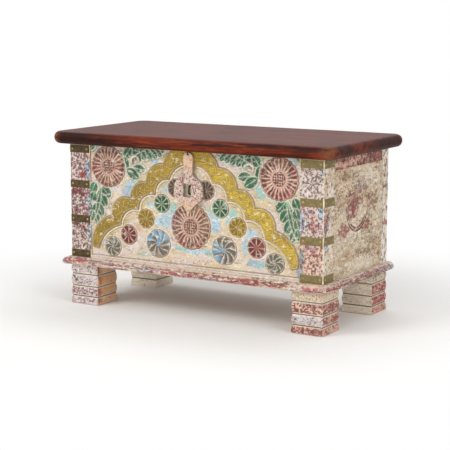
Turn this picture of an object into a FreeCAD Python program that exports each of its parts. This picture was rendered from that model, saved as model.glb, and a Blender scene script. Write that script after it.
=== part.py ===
import FreeCAD, Part
import math
import os
import re

import Sketcher
from FreeCAD import Placement, Rotation, Vector

# A carved wooden trunk on block feet: a framed case with a relief-carved front, a slab lid
# on two hinges and a hasp that hangs from the lid. Millimetres, Z up, front towards -Y.
# Pieces are drawn about the middle of the case, then moved together so that the origin lies
# on the floor under the middle of the whole trunk.

# Driving sizes
SIZES = {
    # Case
    "case_width": 732.0,
    "case_depth": 354.0,
    "case_height": 294.2,
    "front_post_width": 63.0,
    "front_post_depth": 55.0,
    "rear_post_width": 50.0,
    "rear_post_depth": 35.0,
    "front_thickness": 20.0,
    "back_thickness": 16.0,
    "side_thickness": 18.0,
    "back_recess": 1.0,
    "side_recess": 2.0,
    "tongue_length": 8.0,
    "tongue_thickness": 8.0,
    "joint_clearance": 0.2,
    "side_rail_height": 32.0,
    "floor_thickness": 12.0,
    "floor_clearance": 0.5,
    # Carving on the front and the medallion on the sides
    "relief_depth": 4.0,
    "disc_relief": 2.4,
    "boss_relief": 4.8,
    "corner_rosette_radius": 51.5,
    "centre_rosette_radius": 56.5,
    "small_rosette_radius": 24.0,
    "whirl_radius": 35.0,
    "border_height": 9.0,
    "medallion_radius": 56.0,
    "medallion_ring_width": 6.0,
    "medallion_boss_radius": 20.0,
    # Base
    "foot_height": 104.0,
    "foot_width": 86.0,
    "foot_depth": 87.0,
    "foot_overhang": 2.5,
    "foot_back_recess": 2.0,
    "foot_groove_depth": 4.6,
    "foot_edge_round": 7.0,
    "foot_bottom_round": 2.5,
    "base_rail_thickness": 20.0,
    "base_rail_width": 70.0,
    "base_rail_overhang": 18.0,
    "base_rail_back_overhang": 5.0,
    "base_rail_nose_round": 8.0,
    "base_rail_shoulder": 14.0,
    # Lid
    "lid_thickness": 31.5,
    "lid_side_overhang": 39.0,
    "lid_front_overhang": 36.0,
    "lid_back_overhang": 20.0,
    "lid_corner_radius": 33.0,
    "lid_edge_radius": 15.0,
    "lid_gap": 0.3,
    "batten_width": 50.0,
    "batten_thickness": 18.0,
    "batten_clearance": 17.0,
    "batten_inset": 146.0,
    # Corner straps
    "strap_height": 19.4,
    "strap_lowest": 0.6,
    "strap_top_gap": 3.6,
    "strap_front_length": 61.0,
    "strap_side_length": 53.0,
    "strap_thickness": 1.2,
    "strap_bend_radius": 2.5,
    "strap_nail_inset": 8.0,
    # Hasp, its eye and the lock staple
    "hasp_head_radius": 13.5,
    "hasp_neck_width": 22.5,
    "hasp_body_width": 81.0,
    "hasp_length": 150.0,
    "hasp_thickness": 6.0,
    "hasp_standoff": 4.0,
    "hasp_slot_width": 24.0,
    "hasp_slot_height": 32.0,
    "hasp_slot_drop": 93.6,
    "hasp_slot_offset": 2.5,
    "hasp_slot_corner": 2.5,
    "hasp_eye_drop": 3.9,
    "eye_bend_radius": 5.0,
    "eye_wire_radius": 1.3,
    "eye_leg_length": 20.0,
    "eye_play": 1.3,
    "eye_lift": 0.4,
    "staple_span": 23.5,
    "staple_wire_radius": 1.9,
    "staple_reach": 7.4,
    "staple_bend_radius": 4.0,
    "staple_leg_length": 11.0,
    "staple_clearance": 22.0,
    # Hinges
    "hinge_inset": 86.0,
    "hinge_length": 64.0,
    "hinge_leaf_width": 30.0,
    "hinge_seat_width": 14.0,
    "hinge_leaf_thickness": 2.2,
    "hinge_knuckle_radius": 4.0,
    "hinge_knuckle_length": 22.0,
    "hinge_pin_radius": 2.0,
    "hinge_play": 0.05,
    "hinge_clearance": 0.4,
    "hinge_screw_pitch": 23.0,
    "hinge_screw_spot": 9.0,
    "hinge_lid_screw_spot": 6.3,
    # Screws, nails and dowels
    "wood_screw_head_radius": 4.2,
    "wood_screw_head_height": 3.0,
    "wood_screw_radius": 2.1,
    "batten_screw_length": 32.0,
    "base_screw_length": 42.0,
    "base_screw_inset": 123.0,
    "side_screw_inset": 82.0,
    "hinge_screw_head_radius": 3.2,
    "hinge_screw_head_height": 1.1,
    "hinge_screw_radius": 1.5,
    "hinge_screw_length": 13.0,
    "nail_head_radius": 3.0,
    "nail_head_height": 1.3,
    "nail_radius": 1.1,
    "nail_length": 7.5,
    "hole_clearance": 0.1,
    "dowel_radius": 6.0,
    "dowel_length": 40.0,
    "dowel_rail_depth": 17.0,
    "dowel_inset": 20.0,
    # One overrun serves every cut that passes through
    "overrun": 5.0,
}

# Places that follow from the driving sizes, as sheet formulas
PLACES = {
    "half_width": "case_width / 2",
    "half_depth": "case_depth / 2",
    "base_top": "foot_height + base_rail_thickness",
    "case_top": "base_top + case_height",
    "lid_bottom": "case_top + lid_gap",
    "lid_top": "lid_bottom + lid_thickness",
    "front_panel_end": "half_width - front_post_width",
    "front_ground": "half_depth - relief_depth",
    "front_inside": "half_depth - front_thickness",
    "back_panel_end": "half_width - rear_post_width",
    "back_face": "half_depth - back_recess",
    "back_inside": "back_face - back_thickness",
    "side_face": "half_width - side_recess",
    "side_inside": "side_face - side_thickness",
    "side_front_end": "half_depth - front_post_depth",
    "side_back_end": "half_depth - rear_post_depth",
    "side_panel_top": "case_top - side_rail_height",
    "rail_outside_x": "half_width + base_rail_overhang",
    "rail_outside_y": "half_depth + base_rail_overhang",
    "rail_back_y": "half_depth + base_rail_back_overhang",
    "rail_inside_x": "rail_outside_x - base_rail_width",
    "foot_outside_x": "half_width + foot_overhang",
    "foot_outside_y": "half_depth + foot_overhang",
    "foot_back_y": "half_depth - foot_back_recess",
    "base_screw_x": "front_panel_end - base_screw_inset",
    "side_screw_y": "side_back_end - side_screw_inset",
    "strap_pitch": "(case_height - strap_lowest - strap_top_gap - strap_height) / 3",
    "batten_x": "side_inside - batten_inset",
    "batten_end": "front_inside - batten_clearance",
    "hinge_x": "back_panel_end - hinge_inset",
    "hasp_back": "half_depth + hasp_standoff",
    "hasp_middle": "hasp_back + hasp_thickness / 2",
    "eye_axis_z": "lid_bottom - hasp_eye_drop",
    "hinge_axis_y": "back_face + hinge_clearance + hinge_knuckle_radius",
    "hinge_axis_z": "lid_bottom - hinge_clearance - hinge_knuckle_radius",
    "staple_z": "lid_bottom - hasp_eye_drop - hasp_slot_drop",
    "centre_rosette_z": "staple_z - staple_span / 2 - staple_clearance - centre_rosette_radius",
    "origin_shift": "(lid_front_overhang - lid_back_overhang) / 2",
}

# The arch band, as shares of half the carved width and of the panel's height, with the bow
# of the edge that leaves each point as a share of that edge. The outer edge runs down its
# lobes to the tail, and the inner edge comes back up to the pointed apex.
ARCH_SHARES = (
    (0.165, 1.000, 0.110), (0.264, 0.874, 0.225), (0.436, 0.708, 0.237), (0.596, 0.559, 0.284),
    (0.782, 0.396, 0.143), (0.983, 0.200, 0.050), (0.983, 0.105, 0.000), (0.925, 0.095, -0.137),
    (0.693, 0.319, -0.244), (0.512, 0.465, -0.252), (0.343, 0.604, -0.256), (0.205, 0.744, -0.150),
    (0.053, 0.879, 0.100), (0.000, 0.937, 0.100),
)

# Petals of a great rosette, and the share of its radius where they begin
GREAT_PETALS = 24
GREAT_ROOT_SHARE = 0.43

# Rosettes on the right half: place on the panel as shares, the size they take and its
# share, how many petals, and the share of the radius where those begin. The great one on
# the middle line hangs below the staple instead.
ROSETTE_SHARES = (
    (0.815, 0.817, "corner_rosette_radius", 1.00, GREAT_PETALS, GREAT_ROOT_SHARE),
    (0.1436, 0.676, "small_rosette_radius", 0.98, 12, 0.26),
    (0.2805, 0.5365, "small_rosette_radius", 0.94, 6, 0.22),
    (0.439, 0.394, "small_rosette_radius", 1.00, 10, 0.26),
    (0.614, 0.241, "small_rosette_radius", 1.02, 8, 0.22),
    (0.779, 0.1256, "small_rosette_radius", 1.04, 7, 0.20),
    (0.317, 0.190, "whirl_radius", 1.00, 6, 0.20),
)
PETAL_SHARES = {"tip": 0.88, "crown": 0.96, "fill": 0.76}
BOSS_SHARE = 0.88

# Leaves on the right half: root, tip and the bow of both edges, as shares
LEAF_SHARES = (
    ((0.254, 0.985), (0.334, 0.905), 0.14),
    ((0.346, 0.978), (0.450, 0.905), 0.17),
    ((0.462, 0.972), (0.560, 0.925), 0.17),
    ((0.622, 0.930), (0.596, 0.800), 0.20),
    ((0.435, 0.793), (0.555, 0.822), 0.20),
    ((0.502, 0.728), (0.580, 0.782), 0.18),
    ((0.805, 0.600), (0.890, 0.372), 0.17),
    ((0.945, 0.632), (0.984, 0.290), 0.09),
)

# Heights of the grooves round a foot, and where the medallion and the hasp's outline lie
FOOT_GROOVE_SHARES = (0.205, 0.458, 0.758)
MEDALLION_SHARES = (0.02, 0.54)

# The hasp's right edge below its head: shares of half the body's width and of the length,
# with the bow of the edge that leaves each point
HASP_SHARES = (
    (0.30, 0.245, -0.02), (0.30, 0.350, -0.16), (0.62, 0.420, 0.16), (1.00, 0.640, 0.18),
    (0.80, 0.790, -0.06), (0.06, 0.990, 0.40),
)
BATTEN_SCREW_SHARES = (-0.80, 0.00, 0.80)

# How far a quarter and a half circle bow out, as shares of their chords
QUARTER_SHARE = (math.sqrt(2) - 1) / 2
HALF_SHARE = 0.5

# Directions closer than this count as parallel
PARALLEL = 1e-6

NODES = []

doc = FreeCAD.newDocument("Trunk")


def write_sheet():
    """Puts every size and place in the sheet under its own alias."""
    sheet = doc.addObject("Spreadsheet::Sheet", "Sizes")
    rows = [(name, str(value)) for name, value in SIZES.items()]
    rows += [(name, "=" + formula) for name, formula in PLACES.items()]
    for row, (name, content) in enumerate(rows, start=1):
        sheet.set("A%d" % row, name.replace("_", " "))
        sheet.set("B%d" % row, content)
        sheet.setAlias("B%d" % row, name)
    doc.recompute()
    return sheet


sheet = write_sheet()


def size(name):
    """One size or place, in millimetres."""
    return float(sheet.get(name))


def bind(formula):
    """A formula of plain size names as an expression that reads the sheet."""
    return re.sub(r"[a-z][a-z_]+", lambda word: "Sizes." + word.group(0), formula)


def mirrored(bounds, side):
    """Low and high formulas on the positive side, turned over for the negative side."""
    low, high = bounds
    return (low, high) if side > 0 else ("-(%s)" % high, "-(%s)" % low)


# Bodies, sketches and features

def new_body(label):
    """An empty body for one wooden or metal piece."""
    body = doc.addObject("PartDesign::Body", label)
    body.Label = label
    NODES.append(body)
    return body


def new_sketch(body, name, role, offset="0"):
    """A sketch on one of the body's own planes, moved along the plane's normal."""
    sketch = body.newObject("Sketcher::SketchObject", name)
    plane = next(feature for feature in body.Origin.OriginFeatures if feature.Role == role)
    sketch.AttachmentSupport = [(plane, "")]
    sketch.MapMode = "FlatFace"
    sketch.setExpression("AttachmentOffset.Base.z", bind(offset))
    return sketch


def add_rectangle(sketch, across, along):
    """A closed rectangle whose four bounds are bound to the sheet."""
    corners = (Vector(0, 0), Vector(1, 0), Vector(1, 1), Vector(0, 1))
    first = sketch.GeometryCount
    for index in range(4):
        sketch.addGeometry(Part.LineSegment(corners[index], corners[(index + 1) % 4]))
    bottom, right, top, left = (first + index for index in range(4))
    for here, there in ((bottom, right), (right, top), (top, left), (left, bottom)):
        sketch.addConstraint(Sketcher.Constraint("Coincident", here, 2, there, 1))
    for direction, edges in (("Horizontal", (bottom, top)), ("Vertical", (right, left))):
        for edge in edges:
            sketch.addConstraint(Sketcher.Constraint(direction, edge))
    measures = (
        ("DistanceX", -1, 1, bottom, 1, across[0]),
        ("DistanceY", -1, 1, bottom, 1, along[0]),
        ("DistanceX", bottom, 1, bottom, 2, "(%s) - (%s)" % (across[1], across[0])),
        ("DistanceY", right, 1, right, 2, "(%s) - (%s)" % (along[1], along[0])),
    )
    for kind, from_edge, from_end, to_edge, to_end, formula in measures:
        number = sketch.addConstraint(Sketcher.Constraint(kind, from_edge, from_end, to_edge, to_end, 1.0))
        sketch.setExpression("Constraints[%d]" % number, bind(formula))


def edges_of(points):
    """Edges round a closed outline. Each point carries the bow of the edge that leaves it, as
    a share of the edge: positive bows to the left of the way round, zero is straight."""
    edges = []
    for index, (x, y, bow_share) in enumerate(points):
        next_x, next_y = points[(index + 1) % len(points)][:2]
        start, end = Vector(x, y), Vector(next_x, next_y)
        if bow_share == 0:
            edges.append(Part.LineSegment(start, end))
            continue
        middle = (start + end) * 0.5 + Vector(y - next_y, next_x - x) * bow_share
        edges.append(Part.Arc(start, middle, end))
    return edges


def add_circles(sketch, centres, radius):
    """Circles of one radius."""
    for x, y in centres:
        sketch.addGeometry(Part.Circle(Vector(x, y), Vector(0, 0, 1), radius))


def pad(body, sketch, length, backwards=False):
    """Raises a sketch into the body."""
    feature = body.newObject("PartDesign::Pad", sketch.Name + "_pad")
    feature.Profile = sketch
    feature.Reversed = backwards
    feature.setExpression("Length", bind(length))
    return feature


def pocket(body, sketch, depth, backwards=False):
    """Sinks a sketch into the body, and makes sure that it takes wood or metal away."""
    doc.recompute()
    before = body.Shape.Volume
    feature = body.newObject("PartDesign::Pocket", sketch.Name + "_pocket")
    feature.Profile = sketch
    feature.Reversed = backwards
    feature.setExpression("Length", bind(depth))
    doc.recompute()
    if not body.Shape.Volume < before:
        raise ValueError("%s cuts nothing from %s" % (feature.Name, body.Label))
    return feature


def board(label, x, y, z):
    """A straight board between three pairs of bounds, along X, Y and Z."""
    body = new_body(label)
    plan = new_sketch(body, label + "_plan", "XY_Plane", z[0])
    add_rectangle(plan, x, y)
    pad(body, plan, "(%s) - (%s)" % (z[1], z[0]))
    return body


def add_block(body, name, x, y, z):
    """A straight block joined to the body."""
    plan = new_sketch(body, name, "XY_Plane", z[0])
    add_rectangle(plan, x, y)
    return pad(body, plan, "(%s) - (%s)" % (z[1], z[0]))


def cut_block(body, name, x, y, z):
    """A straight block taken out of the body."""
    plan = new_sketch(body, name, "XY_Plane", z[1])
    add_rectangle(plan, x, y)
    return pocket(body, plan, "(%s) - (%s)" % (z[1], z[0]))


def drill(body, name, role, face, centres, radius, depth, backwards=False):
    """Round holes of one radius, sunk from a face that lies parallel to a plane."""
    sketch = new_sketch(body, name, role, face)
    add_circles(sketch, centres, radius)
    return pocket(body, sketch, depth, backwards)


def fillet(body, name, edges, radius):
    """Rounds named edges of the body's last feature."""
    last = body.Tip
    feature = body.newObject("PartDesign::Fillet", name)
    feature.Base = (last, edges)
    feature.setExpression("Radius", bind(radius))
    return feature


def edge_names(shape, wanted):
    """Names of the edges for which wanted(edge) holds."""
    return ["Edge%d" % (index + 1) for index, edge in enumerate(shape.Edges) if wanted(edge)]


def is_upright(edge):
    """True for a straight edge along Z."""
    if not isinstance(edge.Curve, Part.Line):
        return False
    return abs(abs(edge.Curve.Direction.z) - 1) < PARALLEL


def solid_group(label, solids):
    """Like pieces that are made many times and share one node."""
    group = doc.addObject("Part::Feature", label)
    group.Label = label
    group.Shape = Part.makeCompound(solids)
    group.Placement = Placement()
    NODES.append(group)
    return group


def turned(profile, at, direction):
    """A turned piece: a half profile of (radius, height) points with bows, spun about its axis,
    then stood at a place with its axis along a direction."""
    flat = Part.Wire([edge.toShape() for edge in edges_of(profile)])
    flat.rotate(Vector(), Vector(1, 0, 0), 90)
    piece = Part.Face(flat).revolve(Vector(), Vector(0, 0, 1), 360)
    piece.Placement = Placement(at, Rotation(Vector(0, 0, 1), direction)).multiply(piece.Placement)
    return piece


# Fasteners

def screw(at, direction, kind, length):
    """A flat-headed wood screw. Its head's top lies at the place, its shank points along the
    direction and ends in a cone as long as the shank is wide."""
    head = size(kind + "_head_radius")
    height = size(kind + "_head_height")
    shank = size(kind + "_radius")
    profile = (
        (0, 0, 0), (head, 0, 0), (head, height, 0), (shank, height, 0),
        (shank, length - 2 * shank, 0), (0, length, 0),
    )
    return turned(profile, at, direction)


def nail(at, outwards):
    """A strap nail: a low domed head that sits on the strap, and a shank behind it."""
    head = size("nail_head_radius")
    shank = size("nail_radius")
    height = size("nail_head_height")
    depth = size("nail_length")
    # The dome is a cap of a sphere, so its edge meets the axis square
    dome = math.tan(math.atan2(height, head) / 2) / 2
    profile = ((0, -depth, 0), (shank, -depth, 0), (shank, 0, 0), (head, 0, -dome), (0, height, 0))
    return turned(profile, at, outwards)


def screw_holes(body, name, role, face, centres, kind, length, backwards=False):
    """Seats for flat-headed screws: a counterbore for the head and a bore for the shank."""
    play = size("hole_clearance")
    head = size(kind + "_head_radius") + play
    shank = size(kind + "_radius") + play
    drill(body, name + "_heads", role, face, centres, head, kind + "_head_height", backwards)
    drill(body, name + "_shanks", role, face, centres, shank, length, backwards)


# Places that several pieces share

def strap_levels():
    """The middle height of each of the four straps."""
    lowest = size("base_top") + size("strap_lowest") + size("strap_height") / 2
    return [lowest + index * size("strap_pitch") for index in range(4)]


def strap_nail_places(side):
    """Nail places in the front face as (x, z) and in the side face as (y, z)."""
    inset = size("strap_nail_inset")
    outer_x, outer_y = size("half_width") - inset, size("half_depth") - inset
    inner_x = size("half_width") - size("strap_front_length") + inset
    inner_y = size("half_depth") - size("strap_side_length") + inset
    front = [(side * x, z) for z in strap_levels() for x in (inner_x, outer_x)]
    flank = [(-y, z) for z in strap_levels() for y in (inner_y, outer_y)]
    return front, flank


def batten_screw_places(side):
    """Screw places along one batten, in plan."""
    x = side * size("batten_x")
    return [(x, share * size("batten_end")) for share in BATTEN_SCREW_SHARES]


def hinge_screw_places(side):
    """Distances along X of one hinge's three screws."""
    middle = side * size("hinge_x")
    return [middle + step * size("hinge_screw_pitch") for step in (-1, 0, 1)]


def hinge_case_screw_z():
    """Height of the screws in the case leaves."""
    return size("hinge_axis_z") - size("hinge_leaf_width") + size("hinge_screw_spot")


def hinge_lid_screw_y():
    """Depth of the screws in the lid leaves."""
    return size("back_face") - size("hinge_seat_width") + size("hinge_lid_screw_spot")


def base_screw_places():
    """Screws up through the base frame: in the long rails and in the short rails, in plan."""
    across = size("base_screw_x")
    along = size("side_screw_y")
    front = -(size("front_ground") + size("front_inside")) / 2
    back = (size("back_face") + size("back_inside")) / 2
    flank = (size("side_face") + size("side_inside")) / 2
    long_rails = {"front": [(-across, front), (across, front)], "back": [(-across, back), (across, back)]}
    short_rails = {"left": [(-flank, -along), (-flank, along)], "right": [(flank, -along), (flank, along)]}
    return {**long_rails, **short_rails}


def dowel_places(side_x, side_y):
    """Two dowels per foot, one in the long rail and one in the short rail, in plan."""
    inset = size("dowel_inset")
    outside_y = size("foot_outside_y" if side_y < 0 else "foot_back_y")
    far_x = size("foot_outside_x") - size("foot_width") + inset
    far_y = outside_y - size("foot_depth") + inset
    near_x = size("foot_outside_x") - inset
    near_y = outside_y - inset
    return (side_x * far_x, side_y * near_y), (side_x * near_x, side_y * far_y)


# Case

def post(label, side_x, side_y, width, depth):
    """A corner post with a groove for the front or back panel and one for the side panel."""
    x = mirrored(("half_width - %s" % width, "half_width"), side_x)
    y = mirrored(("half_depth - %s" % depth, "half_depth"), side_y)
    z = ("base_top", "case_top")
    body = board(label, x, y, z)
    slack = "joint_clearance"
    face = "front_ground" if side_y < 0 else "back_face"
    reach = "half_width - %s + tongue_length + %s" % (width, slack)
    groove_x = mirrored(("half_width - %s" % width, reach), side_x)
    middle = "(%s + %s) / 2" % (face, "front_inside" if side_y < 0 else "back_inside")
    groove_y = mirrored(tongue_bounds(middle, slack), side_y)
    cut_block(body, label + "_end_groove", groove_x, groove_y, z)
    reach = "half_depth - %s + tongue_length + %s" % (depth, slack)
    groove_x = mirrored(tongue_bounds("(side_face + side_inside) / 2", slack), side_x)
    groove_y = mirrored(("half_depth - %s" % depth, reach), side_y)
    cut_block(body, label + "_side_groove", groove_x, groove_y, z)
    return body


def tongue_bounds(middle, slack):
    """Bounds of a tongue, or of its groove where there is slack, about a middle line."""
    half = "tongue_thickness / 2 + %s" % slack
    return "%s - (%s)" % (middle, half), "%s + %s" % (middle, half)


def front_post(label, side):
    """A front post, bored for the nails of its straps."""
    body = post(label, side, -1, "front_post_width", "front_post_depth")
    front, flank = strap_nail_places(side)
    radius = size("nail_radius") + size("hole_clearance")
    drill(body, label + "_front_nails", "XZ_Plane", "half_depth", front, radius, "nail_length")
    face = "half_width" if side > 0 else "-half_width"
    drill(body, label + "_side_nails", "YZ_Plane", face, flank, radius, "nail_length", side < 0)
    return body


def side_board(label, side, z):
    """A board of the side wall with a tongue at each end."""
    x = mirrored(("side_inside", "side_face"), side)
    body = board(label, x, ("-side_front_end", "side_back_end"), z)
    tongue_x = mirrored(tongue_bounds("(side_face + side_inside) / 2", "0"), side)
    tongue_y = ("-side_front_end - tongue_length", "side_back_end + tongue_length")
    add_block(body, label + "_tongues", tongue_x, tongue_y, z)
    return body


def side_panel(label, side):
    """The side wall below its top rail, with a ringed medallion carved on it."""
    body = side_board(label, side, ("base_top", "side_panel_top"))
    y_share, z_share = MEDALLION_SHARES
    centre = (y_share * size("case_depth"), size("base_top") + z_share * size("case_height"))
    face = "side_face" if side > 0 else "-side_face"
    rings = new_sketch(body, label + "_medallion", "YZ_Plane", face)
    radius = size("medallion_radius")
    for ring in (radius, radius - size("medallion_ring_width"), size("medallion_boss_radius")):
        add_circles(rings, [centre], ring)
    pad(body, rings, "side_recess", backwards=side < 0)
    places = base_screw_places()["right" if side > 0 else "left"]
    panel_screw_holes(body, label, places)
    return body


def panel_screw_holes(body, label, places):
    """Bores in a panel's lower edge for the screws that come up through the base frame."""
    radius = size("wood_screw_radius") + size("hole_clearance")
    depth = "base_screw_length - base_rail_thickness"
    drill(body, label + "_screw_bores", "XY_Plane", "base_top", places, radius, depth, True)


def back_panel():
    """The plain back board, with a seat for each hinge cut in its top edge."""
    x = ("-back_panel_end", "back_panel_end")
    y = ("back_inside", "back_face")
    z = ("base_top", "case_top")
    body = board("back_panel", x, y, z)
    tongue_x = ("-back_panel_end - tongue_length", "back_panel_end + tongue_length")
    add_block(body, "back_tongues", tongue_x, tongue_bounds("(back_face + back_inside) / 2", "0"), z)
    half = "(hinge_length / 2 + floor_clearance)"
    floor = "lid_bottom - hinge_leaf_thickness - lid_gap"
    for side, name in ((-1, "left"), (1, "right")):
        seat_x = mirrored(("hinge_x - " + half, "hinge_x + " + half), side)
        cut_block(body, name + "_hinge_seat", seat_x, y, (floor, "case_top"))
        bores = [(x_place, hinge_case_screw_z()) for x_place in hinge_screw_places(side)]
        radius = size("hinge_screw_radius") + size("hole_clearance")
        depth = "hinge_screw_length - hinge_leaf_thickness"
        drill(body, name + "_hinge_bores", "XZ_Plane", "-back_face", bores, radius, depth, True)
    panel_screw_holes(body, "back_panel", base_screw_places()["back"])
    return body


def floor_board():
    """The floor of the case, resting on the base frame and notched round the posts."""
    slack = "floor_clearance"
    x = ("-(side_inside - %s)" % slack, "side_inside - %s" % slack)
    y = ("-(front_inside - %s)" % slack, "back_inside - %s" % slack)
    z = ("base_top", "base_top + floor_thickness")
    body = board("floor_board", x, y, z)
    front_y = ("-half_depth", "-(side_front_end - %s)" % slack)
    back_y = ("side_back_end - %s" % slack, "half_depth")
    for side, name in ((-1, "left"), (1, "right")):
        front_x = mirrored(("front_panel_end - %s" % slack, "half_width"), side)
        cut_block(body, name + "_front_notch", front_x, front_y, z)
        back_x = mirrored(("back_panel_end - %s" % slack, "half_width"), side)
        cut_block(body, name + "_back_notch", back_x, back_y, z)
    return body


# Carved front

def on_front(x_share, z_share):
    """A place on the carved front from its shares of half the width and of the height."""
    return x_share * size("front_panel_end"), size("base_top") + z_share * size("case_height")


def arch_outline():
    """The whole arch band: the right half, and its mirror image walked the other way."""
    right = [on_front(x, z) + (bow,) for x, z, bow in ARCH_SHARES]
    left = []
    for index in range(len(right) - 2, -1, -1):
        x, z, bow = right[index]
        left.append((-x, z, right[index - 1][2] if index > 0 else 0))
    right[-1] = right[-1][:2] + (right[-2][2],)
    return right + left


def rosettes():
    """Centre, radius, petals and the radius of their roots for every rosette, both halves."""
    great = size("centre_rosette_radius")
    yield 0, size("centre_rosette_z"), great, GREAT_PETALS, great * GREAT_ROOT_SHARE
    for x_share, z_share, radius, share, petals, root_share in ROSETTE_SHARES:
        for side in (-1, 1):
            x, z = on_front(x_share, z_share)
            outer = share * size(radius)
            yield side * x, z, outer, petals, outer * root_share


def petal_outline(x, z, radius, root, angle, step):
    """One petal: two straight flanks on rays from the centre and a round tip."""
    half = step * PETAL_SHARES["fill"] / 2
    tip, crown = radius * PETAL_SHARES["tip"], radius * PETAL_SHARES["crown"]
    bow = (crown - tip * math.cos(half)) / (2 * tip * math.sin(half))
    corners = ((root, -half, 0), (tip, -half, -bow), (tip, half, 0), (root, half, 0))
    return [
        (x + reach * math.cos(angle + turn), z + reach * math.sin(angle + turn), bow)
        for reach, turn, bow in corners
    ]


def leaf_outlines():
    """Every leaf of the scrolls, both halves: two bowed edges from root to tip and back."""
    for root, tip, bow in LEAF_SHARES:
        for side in (-1, 1):
            root_x, root_z = on_front(*root)
            tip_x, tip_z = on_front(*tip)
            yield [(side * root_x, root_z, -bow), (side * tip_x, tip_z, -bow)]


def relief(body, name, outlines, height):
    """Raises closed outlines from the lowered ground of the carved front."""
    sketch = new_sketch(body, name, "XZ_Plane", "front_ground")
    for outline in outlines:
        sketch.addGeometry(edges_of(outline))
    return pad(body, sketch, height)


def front_panel():
    """The front board with its ground cut down, so that the arch, the rosettes and the leaves
    stand level with the posts."""
    x = ("-front_panel_end", "front_panel_end")
    z = ("base_top", "case_top")
    body = board("front_panel", x, ("-front_ground", "-front_inside"), z)
    tongue_x = ("-front_panel_end - tongue_length", "front_panel_end + tongue_length")
    tongue_y = mirrored(tongue_bounds("(front_ground + front_inside) / 2", "0"), -1)
    add_block(body, "front_tongues", tongue_x, tongue_y, z)
    border_z = ("base_top", "base_top + border_height")
    add_block(body, "front_border", x, ("-half_depth", "-front_ground"), border_z)
    relief(body, "arch_band", [arch_outline()], "relief_depth")
    places = list(rosettes())
    discs = new_sketch(body, "rosette_discs", "XZ_Plane", "front_ground")
    bosses = new_sketch(body, "rosette_bosses", "XZ_Plane", "front_ground")
    petal_outlines = []
    for place_x, place_z, radius, petals, root in places:
        add_circles(discs, [(place_x, place_z)], radius)
        add_circles(bosses, [(place_x, place_z)], root * BOSS_SHARE)
        step = 2 * math.pi / petals
        for index in range(petals):
            petal_outlines.append(petal_outline(place_x, place_z, radius, root, index * step, step))
    pad(body, discs, "disc_relief")
    pad(body, bosses, "boss_relief")
    relief(body, "petals", petal_outlines, "relief_depth")
    relief(body, "leaves", leaf_outlines(), "relief_depth")
    radius = size("staple_wire_radius") + size("hole_clearance")
    half = size("staple_span") / 2 - size("staple_wire_radius")
    bores = [(-size("hasp_slot_offset"), size("staple_z") + way * half) for way in (-1, 1)]
    drill(body, "staple_bores", "XZ_Plane", "front_ground", bores, radius, "staple_leg_length")
    panel_screw_holes(body, "front_panel", base_screw_places()["front"])
    return body


# Base

def rail_profile(outside, side):
    """A rail's section: a round nose that leads up over a long shoulder to the flat top."""
    low, high = size("foot_height"), size("base_top")
    nose = size("base_rail_nose_round")
    inside = outside - size("base_rail_width")
    profile = [
        (inside, low, 0),
        (outside - nose, low, -QUARTER_SHARE),
        (outside, low + nose, -QUARTER_SHARE),
        (outside - size("base_rail_shoulder"), high, 0),
        (inside, high, 0),
    ]
    return profile if side > 0 else [(-x, z, -bow) for x, z, bow in profile]


def base_rail(label, along_x, side):
    """A moulded rail of the base frame. The front rail is mitred at both ends, a side rail at
    its front end, and the side rails run through to the back."""
    outside = size("rail_outside_y" if along_x else "rail_outside_x")
    end = size("rail_outside_x" if along_x else "rail_outside_y")
    body = new_body(label)
    if along_x:
        section = new_sketch(body, label + "_section", "YZ_Plane", "-rail_outside_x")
    else:
        section = new_sketch(body, label + "_section", "XZ_Plane", "rail_outside_y")
    section.addGeometry(edges_of(rail_profile(outside, side)))
    length = "2 * rail_outside_x" if along_x else "rail_outside_y + rail_back_y"
    pad(body, section, length, backwards=not along_x)
    more = size("overrun")
    reach = size("base_rail_width") + more
    mitres = new_sketch(body, label + "_mitres", "XY_Plane", "base_top + overrun")
    corner = [(end + more, outside + more), (end - reach, outside - reach), (end + more, outside - reach)]
    for way in (-1, 1) if along_x else (-1,):
        points = [(way * u, side * v) if along_x else (side * v, way * u) for u, v in corner]
        mitres.addGeometry(edges_of([(x, y, 0) for x, y in points]))
    pocket(body, mitres, "base_rail_thickness + 2 * overrun")
    bore_rail(body, along_x, side)
    return body


def back_rail():
    """The plain rail of the base frame, let in between the side rails."""
    y = ("rail_back_y - base_rail_width", "rail_back_y")
    body = board("base_rail_back", ("-rail_inside_x", "rail_inside_x"), y, ("foot_height", "base_top"))
    bore_rail(body, True, 1)
    return body


def bore_rail(body, along_x, side):
    """Screw holes for the case and dowel bores for the feet in one rail."""
    label = body.Label
    name = label.replace("base_rail_", "")
    screw_holes(body, label, "XY_Plane", "foot_height", base_screw_places()[name],
                "wood_screw", "base_rail_thickness + overrun", True)
    rail_dowels = []
    for way in (-1, 1):
        corner = (way, side) if along_x else (side, way)
        rail_dowels.append(dowel_places(*corner)[0 if along_x else 1])
    bore = size("dowel_radius") + size("hole_clearance")
    drill(body, label + "_dowels", "XY_Plane", "foot_height", rail_dowels, bore, "dowel_rail_depth", True)


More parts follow.
